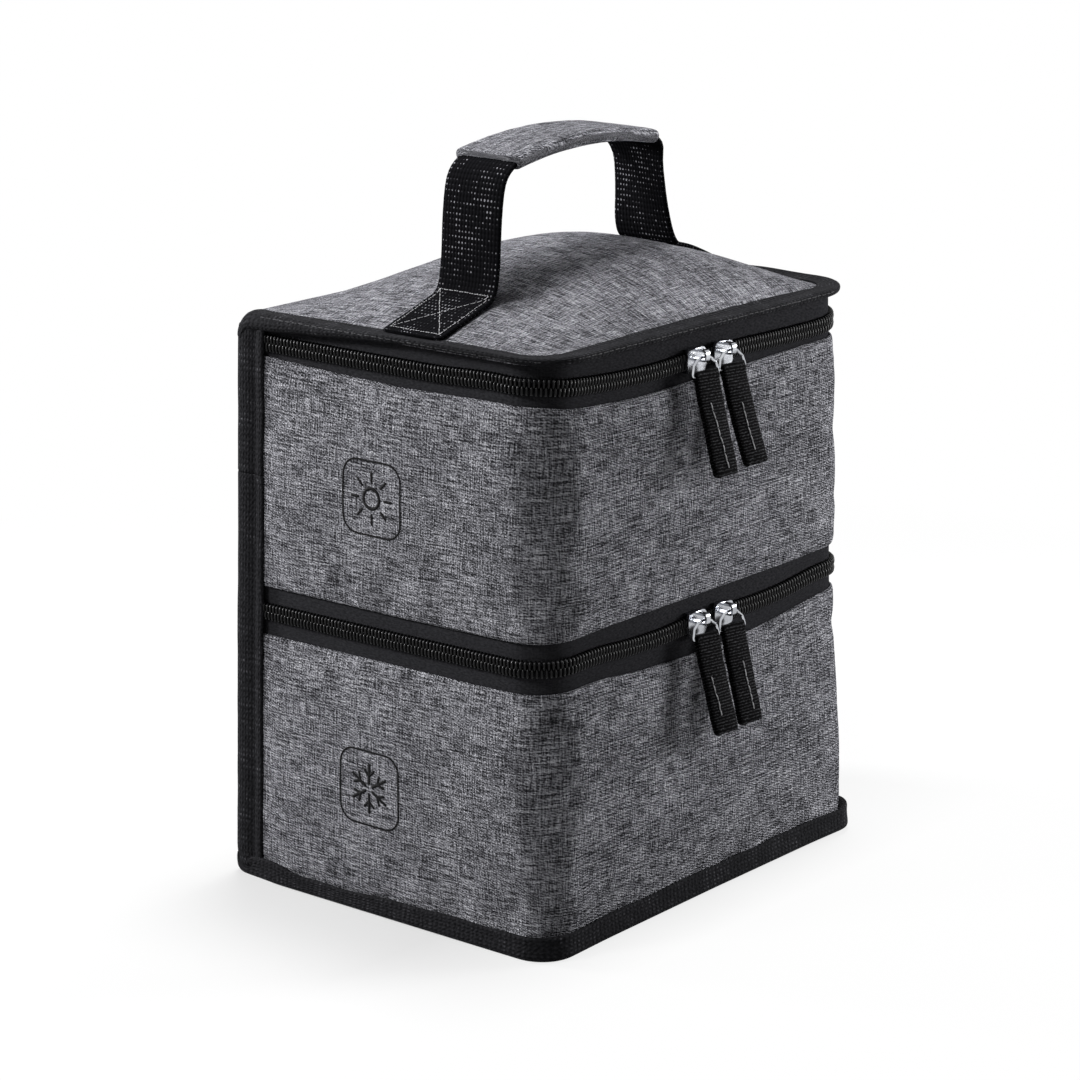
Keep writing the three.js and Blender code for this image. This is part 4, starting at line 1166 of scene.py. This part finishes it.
# %% The divider and the lid's lining
LID_FOAM = 7.2
divider = flat_lining("divider_film", "upper_box", UPPER_BOTTOM, LIP_INSET, lambda x, y: UPPER_BOTTOM - 0.4)
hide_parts("divider_lining")
lid_film = flat_lining(
    "lid_lining_film", "lid", DOME_EDGE_Z, LIP_INSET, lambda x, y: DOME_EDGE_Z + crown(x, y) - LID_FOAM)
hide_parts("lid_lining")
print("the lid's film lies", LID_FOAM, "mm under its cloth")

# %% [markdown]
# ## Carry handle
# One length of webbing is sewn to the lid at both ends and stands up in an arch, with a cloth sleeve round
# the part that the hand holds. The webbing is a ribbon swept along its own line.

# %% The webbing's line
HANDLE_Y, WEBBING_WIDTH, WEBBING_THICK = -9.0, 30.0, 2.2
# The handle has been pulled to the left, so its right leg stands further in and is turned a little.
RIGHT_LEG_IN = 9.0
GRIP_MIDDLE, GRIP_HALF, GRIP_TOP, GRIP_DROP = -RIGHT_LEG_IN / 2, 49.0 - RIGHT_LEG_IN / 2, 306.0, 4.6
TURN_Z, TURN_X = [256.0, 265.0, 274.0, 287.0, 299.0], [-0.5, 0.5, 2.2, 3.2, 3.6]
# Where each foot ends, and how far the webbing's middle lies above the cloth there. The right one is pressed
# in.
FOOT_END, FOOT_LIFT = {-1: 96.5, 1: 88.0}, {-1: 1.3, 1: -0.1}
FOOT_TOP, GRIP_START_Z = 262.0, 291.5


def grip_z(x):
    return GRIP_TOP - GRIP_DROP * ((x - GRIP_MIDDLE) / GRIP_HALF) ** 2


def handle_side(side, inwards):
    """The webbing's middle line on one side, from the foot's outer end to the end of the grip."""
    foot = [(x, lid_z(side * x, HANDLE_Y) + FOOT_LIFT[side])
            for x in np.linspace(FOOT_END[side], 65.0 - inwards, 12)]
    low = foot[-1][1]
    top = GRIP_START_Z - low
    leg = [(62.6, 1.9), (61.0, 4.8), (60.3, 9.0), (59.8, top * 0.34), (59.2, top * 0.52), (58.4, top * 0.74),
           (57.0, top), (55.0, top + 5.1), (51.6, top + 8.5)]
    return [(side * x, z) for x, z in foot + [(x - inwards, low + rise) for x, rise in leg]]


grip = [(x, grip_z(x)) for x in GRIP_MIDDLE + np.linspace(-GRIP_HALF + 2, GRIP_HALF - 2, 23)]
webbing_line = np.array(handle_side(-1, 0.0) + grip + handle_side(1, RIGHT_LEG_IN)[::-1])
print("the webbing is", round(lengths_along(webbing_line)[-1]), "mm long")


# %% Webbing
def webbing_section():
    """The webbing's outline across its width, with the two woven edges a little thinner."""
    half, thick = WEBBING_WIDTH / 2, WEBBING_THICK / 2
    lower = [(-half + 0.5, -thick), (-half, -thick * 0.4), (-half, thick * 0.4), (-half + 0.5, thick)]
    lower += [(half * t, thick) for t in (-0.6, -0.2, 0.2, 0.6)]
    return lower + [(-across, -lift) for across, lift in lower]


def webbing_ribbon():
    half, lengths = WEBBING_WIDTH / 2, lengths_along(webbing_line)
    last, rows, flat = len(webbing_line) - 1, [], []
    for i, (x, z) in enumerate(webbing_line):
        run = webbing_line[min(i + 1, last)] - webbing_line[max(i - 1, 0)]
        run /= np.linalg.norm(run)
        up = (-run[1], run[0])
        sway = 0.5 * math.sin((z - FOOT_TOP) / 45 * math.pi) if FOOT_TOP < z < 300 else 0.0
        turn = float(np.interp(z, TURN_Z, TURN_X)) if 46 < x < 55 else 0.0
        hollow = 0.5 if z > FOOT_TOP and not -50 < x < 44 else 0.0
        rows.append([])
        for across, lift in webbing_section():
            rise = lift - hollow * (across / half) ** 2
            rows[-1].append((x + up[0] * rise + turn * across / half, HANDLE_Y + across + sway,
                             z + up[1] * rise))
            flat.append((lengths[i], across + (40 if lift < 0 else 0)))
    piece = sheet_piece("carry_webbing", rows, WEBBING, around=True, ends=True, flat=flat)
    rounded(piece)
    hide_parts("handle_webbing", "handle_foot_left", "handle_foot_right")
    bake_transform(piece)
    return piece


webbing = webbing_ribbon()
print("webbing:", len(webbing.data.vertices), "points")

# %% [markdown]
# ## Cloth sleeve
# The grip is a sleeve of the same heather cloth, thinly padded, wrapped round the webbing. It could be a round
# tube, but it lies flat on the webbing, so it is a flat oval swept along the grip. It is drawn in at both ends,
# where the seams hold it, and has soft dents between them.

# %% Cloth sleeve round the grip
SLEEVE_HALF, SLEEVE_THICK = 16.8, 3.0


def sleeve_section():
    """A flat oval: two half circles joined by two straight runs."""
    half, thick = SLEEVE_HALF, SLEEVE_THICK
    turns = [[(thick * math.cos(math.radians(a)), thick * math.sin(math.radians(a)))
              for a in range(start, start + 181, 30)] for start in (-90, 90)]
    right = [(half - thick + x, z) for x, z in turns[0]]
    left = [(thick - half + x, z) for x, z in turns[1]]
    over = [(half * t, thick) for t in (0.55, 0.2, -0.2, -0.55)]
    return right + over + left + [(-x, -z) for x, z in over]


def grip_sleeve():
    rows, flat = [], []
    inner = np.linspace(-GRIP_HALF + 2.5, GRIP_HALF - 2.5, 36)
    xs = [-GRIP_HALF, -GRIP_HALF + 0.4, *inner, GRIP_HALF - 0.4, GRIP_HALF]
    tightness = [0.86, 0.97, *np.ones(len(inner)), 0.97, 0.86]
    for x, tight in zip(xs, tightness):
        slope = -2 * GRIP_DROP * x / GRIP_HALF**2
        up = np.array([-slope, 1.0]) / math.hypot(slope, 1.0)
        x += GRIP_MIDDLE
        rows.append([])
        for across, lift in sleeve_section():
            soft = 0.35 * wander(x, across, lift * 4, size=16.0) + 0.2 * wander(x, across, size=7.0)
            lift = lift * tight + soft * (1 if lift > 0 else 0.4)
            flat.append((x + GRIP_HALF, across + (60 if lift < 0 else 0)))
            rows[-1].append((x + up[0] * lift, HANDLE_Y + across * (1 + 0.012 * soft),
                             grip_z(x) + up[1] * lift))
    sleeve = sheet_piece("grip_sleeve", rows, HEATHER, "handle", around=True, ends=True, flat=flat)
    rounded(sleeve)
    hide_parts("handle_sleeve")
    return sleeve


sleeve = grip_sleeve()
print("sleeve:", len(sleeve.data.vertices), "points")

# %% [markdown]
# ## Sliders and rings
# The sliders are zinc castings and the rings are bent wire. Their solids already have the right plates, post
# and bridge, so they keep their shape and get their finish.

# %% Sliders and rings
chromed = [name for name in frame["nodes"] if name.endswith(("_slider", "_pull_ring"))]
for name in chromed:
    finishes = frame["nodes"][name].data.materials
    finishes.clear()
    finishes.append(WIRE if name.endswith("ring") else CHROME)
print("chromed:", len(chromed))

# %% [markdown]
# ## Pull tabs
# A tab is a short ribbon passed round the ring, folded double and sewn down its length with grey thread. It
# hangs from the ring, leaning a little out from the wall. Each is made in the place where its joint holds it.

# %% Where each tab hangs
TAB_WIDTH, TAB_LEAN, PULL_TWIST = 11.4, 16.0, 12.0
joints = {joint["name"]: joint for joint in frame["joints"]}
# Each tab's outward bend, its sideways swing, how ragged its end is and its length.
TABS = {"lower_left": (0.6, 1.5, 1.0, 38.5), "lower_right": (-0.4, 1.4, 2.0, 38.5),
        "upper_left": (0.3, 1.4, 1.2, 39.8), "upper_right": (0.8, 3.2, 1.4, 38.8)}


def tab_frame(word):
    """Where a tab hangs from, and its directions: across, outward and down."""
    at = np.array(joints[f"{word}_tab_swing"]["pos_m"]) / MM
    twist, lean = math.radians(PULL_TWIST), math.radians(TAB_LEAN)
    across = np.array([math.cos(twist), -math.sin(twist), 0.0])
    out = np.array([-math.sin(twist), -math.cos(twist), 0.0])
    up = np.array([0.0, 0.0, 1.0])
    return at, across, out * math.cos(lean) + up * math.sin(lean), out * math.sin(lean) - up * math.cos(lean)


def tab_drift(s, word):
    """How far the tab has swung sideways at a distance down it."""
    _, drift, _, length = TABS[word]
    return drift * (max(s, 0.0) / length) ** 1.4


print("tabs hang from", [round(float(tab_frame(word)[0][2]), 1) for word in TABS], "mm")

# %% Pull tabs
RING_EYE, PLY = 1.35, 1.0


def tab_loop(length):
    """The ribbon's line seen from its edge, up the front, round the ring and down the back."""
    eye = [(math.cos(a) * RING_EYE, -math.sin(a) * RING_EYE)
           for a in np.linspace(0.5 * math.pi, 0.04 * math.pi, 7)]
    line = eye + [(PLY / 2 + 0.15, s) for s in np.linspace(2.5, length - 1.2, 22)]
    closing = [(PLY / 2, length - 0.3), (0.0, length), (-PLY / 2, length - 0.4)]
    return line + closing + [(-n, s) for n, s in reversed(line)]


def pull_tab(word, bend, drift, worn, length):
    at, across, face, down = tab_frame(word)
    loop = tab_loop(length)
    rows, flat = [], []
    for run, (n, s) in zip(lengths_along(loop), loop):
        rows.append([])
        for w in np.linspace(-1, 1, 9):
            fold = 0.55 * (1 - w * w) * (1 if n > 0 else -0.6) * smooth(s / 8)
            curl = bend * (s / length) ** 2
            ripple = 0.35 * wander(s, w * 4, len(word) * 9 + drift, size=7.0) * smooth(s / 6)
            ripple += 0.15 * wander(s, w * 4, drift, size=2.5) * smooth(s / 6)
            side = (TAB_WIDTH / 2 + 0.25 * wander(s, w * 3, drift, size=4.0)) * w
            tail = worn * wander(w * 6, drift, n * 3, size=1.6) * smooth((s - length + 3) / 3)
            rows[-1].append(at + across * (side + tab_drift(s, word)) + face * (n + fold + curl + ripple)
                            + down * (s + tail - 0.02 * side * drift * (s / length)))
            flat.append((side, run))
    piece = sheet_piece(f"{word}_tab_ribbon", rows, RIBBON, f"{word}_tab", flat=flat)
    thicken(piece, RIBBON_THICK)
    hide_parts(f"{word}_pull_tab")
    return piece


tabs = {word: pull_tab(word, *shape) for word, shape in TABS.items()}
print("tabs:", list(tabs))

# %% [markdown]
# ## Sewing that shows
# Grey thread shows on the tabs, along the lid's edge tape and in the crossed boxes that hold the handle's
# feet. Each stitch is a short round bar laid on the surface below it. A painted line would not catch the
# light as the raised thread does.


# %% Stitches laid on a surface
def surface_of(piece):
    points = [piece.matrix_world @ v.co for v in piece.data.vertices]
    return BVHTree.FromPolygons(points, [tuple(p.vertices) for p in piece.data.polygons])


def thread_unit(length, radius):
    """One stitch: a bar that is thickest in its middle and dips into the cloth at both ends."""
    points = []
    for x, scale in ((-0.5, 0.35), (-0.4, 0.85), (0.0, 1.0), (0.4, 0.85), (0.5, 0.35)):
        for k in range(6):
            a = 2 * math.pi * k / 6
            lift = radius * scale * math.sin(a) + radius * 0.9 * (1 - (2 * x) ** 2)
            points.append((x * length, radius * scale * math.cos(a), lift))
    return points, grid_faces(5, 6, around=True, ends=True)


def sew(name, line, tree, way, material, body, length, gap, radius, wobble=0.0):
    """Lays stitches along a line of places, dropped on to a surface along a direction."""
    line = np.asarray(line, float)
    lengths = lengths_along(line)
    places = []
    for s in np.arange(length / 2, lengths[-1], length + gap):
        ends = []
        for t in (s - length / 2, s + length / 2):
            at = np.array([np.interp(t, lengths, line[:, axis]) for axis in range(3)])
            hit, normal, _, _ = tree.ray_cast(Vector((at - np.array(way) * 12) * MM), Vector(way), 0.04)
            if hit is not None:
                ends.append((np.array(hit) / MM, np.array(normal)))
        if len(ends) == 2:
            (a, up), (b, _) = ends
            along = (b - a) / max(np.linalg.norm(b - a), 1e-6)
            side = np.cross(up, along)
            side /= max(np.linalg.norm(side), 1e-6)
            middle = (a + b) / 2 + side * wobble * wander(s, size=5.0)
            places.append(place(middle, along, side, np.cross(along, side)))
    return join_copies(name, *thread_unit(length, radius), places, material, body)


print("a stitch has", len(thread_unit(2.6, 0.22)[0]), "points")

# %% Crossed boxes on the handle's feet
ABOVE_LID, BOX_HALF = 262.0, 12.6
webbing_surface = surface_of(webbing)
for word, x_in, x_out in (("left", -63.5, -93.0), ("right", 65.0 - RIGHT_LEG_IN, 84.5)):
    y_low, y_high = HANDLE_Y - BOX_HALF, HANDLE_Y + BOX_HALF
    a, b, c, d = (x_in, y_low), (x_in, y_high), (x_out, y_high), (x_out, y_low)
    for index, (start, end) in enumerate(((a, b), (b, c), (c, d), (d, a), (a, c), (b, d))):
        line = np.linspace((*start, ABOVE_LID), (*end, ABOVE_LID), 24)
        run = sew(f"handle_foot_{word}_sewing_{index}", line, webbing_surface, (0.0, 0.0, -1.0), THREAD, "lid",
                  2.1, 0.5, 0.2, 0.25)
print("crossed boxes sewn")


# %% Thread on the tabs
def tab_sewing(word, start, end, first, last):
    """Stitches from start to end down a tab. first and last say how far right of its middle they are."""
    at, across, face, down = tab_frame(word)
    line = []
    for t in np.linspace(0, 1, 30):
        s = start + (end - start) * t
        away = first + (last - first) * t + 0.6 * wander(t * 30, len(word) * 5, size=6.0)
        line.append(at + across * (away + tab_drift(s, word)) + down * s)
    run = sew(f"{word}_tab_thread", line, surface_of(tabs[word]), tuple(-face), THREAD, f"{word}_tab",
              3.2, 0.25, 0.24)


tab_sewing("upper_left", 11.0, 37.0, -1.6, 0.6)
tab_sewing("upper_right", 14.0, 33.0, -0.6, -0.4)
tab_sewing("lower_left", 15.5, 31.0, -2.8, -1.8)
tab_sewing("lower_right", 13.5, 35.0, 0.6, 1.6)
print("tabs sewn")

# %% Thread along the lid's tape
lid_tape_surface = surface_of(lid_tape)
line = [np.array(point) + np.array(outward) * 3.0 - np.array(edgeward) * 0.6
        for point, outward, edgeward in edge_path(True)[6:-6]]
for index, (run, way) in enumerate((
    ([p for p in line if p[0] < -95], (1.0, 0.0, -0.35)),
    ([p for p in line if p[1] < -75 and abs(p[0]) < 84], (0.0, 1.0, -0.35)),
    ([p for p in line if p[0] > 95], (-1.0, 0.0, -0.35)),
)):
    seam = sew(f"lid_tape_sewing_{index}", run, lid_tape_surface, tuple(np.array(way) / np.linalg.norm(way)),
               DIM_THREAD, "lid", 2.4, 1.2, 0.17, 0.3)
print("lid tape sewn")

# %% [markdown]
# ## Printed symbols
# Each compartment carries a small printed symbol in a rounded frame, a plain sun above for warm food and a
# plain snow crystal below for cold. They are screen printed, so each is a thin film of ink that follows the
# cloth: flat shapes are cut up finely and each point is dropped on to the wall.


# %% Strokes of ink
def stroke(start, end, width, steps):
    """A straight stroke with round ends as a strip of quads."""
    start, end = np.array(start, float), np.array(end, float)
    run = (end - start) / np.linalg.norm(end - start)
    side = np.array([-run[1], run[0]]) * width / 2
    reach = [(start - run * 0.5 * width, 0.0), (start - run * 0.35 * width, 0.7)]
    reach += [(start + (end - start) * i / steps, 1.0) for i in range(steps + 1)]
    reach += [(end + run * 0.35 * width, 0.7), (end + run * 0.5 * width, 0.0)]
    points = [at + side * way * share for at, share in reach for way in (-1, 1)]
    return points, [(2 * i, 2 * i + 1, 2 * i + 3, 2 * i + 2) for i in range(len(reach) - 1)]


def band(line, width):
    """A stroke along a closed line."""
    line = np.array(line, float)
    n, points = len(line), []
    for i in range(n):
        run = line[(i + 1) % n] - line[i - 1]
        run /= np.linalg.norm(run)
        side = np.array([-run[1], run[0]]) * width / 2
        points += [line[i] - side, line[i] + side]
    return points, [(2 * i, 2 * i + 1, (2 * i + 3) % (2 * n), (2 * i + 2) % (2 * n)) for i in range(n)]


def rounded_square(size, radius):
    h = size / 2 - radius
    line = []
    for cx, cy, start in ((h, -h, -90), (h, h, 0), (-h, h, 90), (-h, -h, 180)):
        for i in range(9):
            a = math.radians(start + 90 * i / 8)
            line.append((cx + radius * math.cos(a), cy + radius * math.sin(a)))
        # The straight run to the next corner is cut up too, so that it can follow the cloth.
        here, turned = line[-1], math.radians(start + 180)
        line += [(here[0] + math.cos(turned) * 2 * h * t / 6, here[1] + math.sin(turned) * 2 * h * t / 6)
                 for t in range(1, 6)]
    return line


print("a frame has", len(rounded_square(30.0, 7.0)), "points along it")


# %% Sun and snow crystal
def around_centre(angle, radius):
    return (radius * math.sin(math.radians(angle)), radius * math.cos(math.radians(angle)))


def sun():
    circle = [around_centre(a, 4.1) for a in range(0, 360, 10)]
    rays = [stroke(around_centre(a, 6.9), around_centre(a, 10.3), 1.1, 4) for a in range(0, 360, 45)]
    return [band(circle, 1.3)] + rays


def snow_crystal():
    parts = []
    for a in range(0, 360, 60):
        parts.append(stroke(around_centre(a, 2.2), around_centre(a, 10.0), 1.25, 6))
        fork = around_centre(a, 5.2)
        for lean in (-45, 45):
            tip = around_centre(a + lean, 3.4)
            parts.append(stroke(fork, (fork[0] + tip[0], fork[1] + tip[1]), 1.15, 4))
    return parts


def print_on_side(name, size, drawing, y, z, wall, body):
    """Drops a framed drawing on to the left wall. Its right points to the front of the bag."""
    tree = surface_of(wall)
    points, faces = [], []
    for part_points, part_faces in [band(rounded_square(size, SYMBOL_R), SYMBOL_LINE), *drawing]:
        start = len(points)
        for right, up in part_points:
            origin = Vector((-115.0, y - right, z + up)) * MM
            hit, _, _, _ = tree.ray_cast(origin, Vector((1, 0, 0)), 0.03)
            points.append((hit.x / MM - 0.07, y - right, z + up))
        faces += [tuple(v + start for v in face) for face in part_faces]
    ink = mesh_piece(name, points, faces, INK, np.zeros((len(points), 2)), body)
    thicken(ink, INK_THICK, soft=False)


SYMBOL_R, SYMBOL_LINE = 7.0, 0.8
print_on_side("sun_print", 30.0, sun(), 5.3, 172.8, upper_wall, "upper_box")
print_on_side("snow_print", 31.0, snow_crystal(), 6.6, 53.0, base_wall, "base")
print("symbols printed")

# %% [markdown]
# ## Floor, light and camera
# The bag stands on a pale floor under studio light. The floor shows as white to the camera but keeps the
# bag's soft shadow to its right; in front of the bag a glow paints that shadow out. Four soft boxes light it:
# the key on the left, one behind it that rakes along the side, one above, and a low one in front on the right.
# The lens is long, as it is in a product photograph.


# %% Floor
def seen_directly(tree):
    """1 where the camera, a reflection or a clear material looks, and 0 where light only bounces."""
    ray = node(tree, "LightPath")
    seen = ray.outputs["Is Camera Ray"]
    for other in ("Is Glossy Ray", "Is Transmission Ray"):
        seen = node(tree, "Math", {0: seen, 1: ray.outputs[other]}, operation="MAXIMUM").outputs[0]
    return seen


def pale_floor():
    material, tree, shader = new_material("studio_floor_matt_white", 0.9, Specular_IOR_Level=0.0)
    seen = seen_directly(tree)
    board = node(tree, "MixRGB", {0: seen, 1: colour("#8c8c8c"), 2: colour("#cbcbcb")})
    tree.links.new(board.outputs[0], shader.inputs["Base Color"])
    glow = node(tree, "Emission", {"Color": (1.0, 1.0, 1.0, 1.0), "Strength": 1.0})
    # In front of the bag and far away the floor glows white for the camera, a painted light that wipes out the
    # bag's shadow in front of it.
    here = node(tree, "TexCoord").outputs["Object"]
    away = node(tree, "VectorMath", {0: here}, operation="LENGTH").outputs["Value"]
    far = node(tree, "MapRange", {0: away, 1: 0.26, 2: 0.62, 3: 0.5, 4: 1.0})
    depth = node(tree, "SeparateXYZ", {0: here}).outputs["Y"]
    front = node(tree, "MapRange", {0: depth, 1: -0.03, 2: -0.115, 3: 0.5, 4: 0.96})
    painted_glow_share = node(tree, "Math", {0: far, 1: front}, operation="MAXIMUM")
    amount = node(tree, "Math", {0: seen, 1: painted_glow_share}, operation="MULTIPLY")
    both = node(tree, "MixShader", {0: amount, 1: shader, 2: glow})
    tree.links.new(both.outputs[0], tree.nodes["Material Output"].inputs["Surface"])
    return material


FLOOR_HALF = 9000
floor_corners = [(x * FLOOR_HALF, y * FLOOR_HALF, 0) for x, y in ((-1, -1), (1, -1), (1, 1), (-1, 1))]
floor = mesh_piece("floor", floor_corners, [(0, 1, 2, 3)], pale_floor())
print("floor:", 2 * FLOOR_HALF * MM, "m wide")

# %% World
ROOM_LIGHT = 0.17
world = bpy.data.worlds.new("studio")
bpy.context.scene.world = world
world.use_nodes = True
background = world.node_tree.nodes["Background"]
background.inputs["Color"].default_value = (1.0, 1.0, 1.0, 1.0)
level = node(world.node_tree, "MapRange", {0: seen_directly(world.node_tree), 3: ROOM_LIGHT, 4: 1.0})
world.node_tree.links.new(level.outputs[0], background.inputs["Strength"])
print("room light", ROOM_LIGHT)


# %% Lamps
def soft_box(name, at, aim, size, level):
    """A square soft box. level is how much of full light it gives a surface that faces it at its aim."""
    light = bpy.data.lights.new(name, "AREA")
    away = (Vector(at) - Vector(aim)).length
    light.size, light.energy = size, level * math.pi**2 * away**2
    holder = bpy.data.objects.new(name, light)
    bpy.context.collection.objects.link(holder)
    holder.location = at
    holder.rotation_euler = (Vector(aim) - Vector(at)).to_track_quat("-Z", "Y").to_euler()
    print(name, round(light.energy, 1), "W")


soft_box("key_from_the_left", (-1.26, 0.63, 1.27), (0.0, 0.0, 0.15), 0.32, 0.59)
soft_box("raking_light_behind_left", (-0.62, 1.55, 0.62), (-0.08, 0.0, 0.13), 0.3, 1.0)
soft_box("top_light", (0.25, 0.15, 1.80), (0.0, 0.0, 0.20), 0.45, 0.95)
soft_box("fill_from_front_right", (0.54, -0.44, 0.27), (0.08, -0.08, 0.14), 0.25, 1.28)

# %% Camera
CAMERA_DOWN, CAMERA_ROUND = 15.22, -50.6
camera = bpy.data.objects.new("camera", bpy.data.cameras.new("camera"))
bpy.context.collection.objects.link(camera)
camera.location = (-1.1169, -0.9128, 0.5277)
camera.rotation_euler = (math.radians(90 - CAMERA_DOWN), 0.0, math.radians(CAMERA_ROUND))
camera.data.lens, camera.data.sensor_width = 120.0, 36.0
bpy.context.scene.camera = camera
bpy.context.scene.view_settings.view_transform = "Standard"
print("lens", camera.data.lens, "mm")
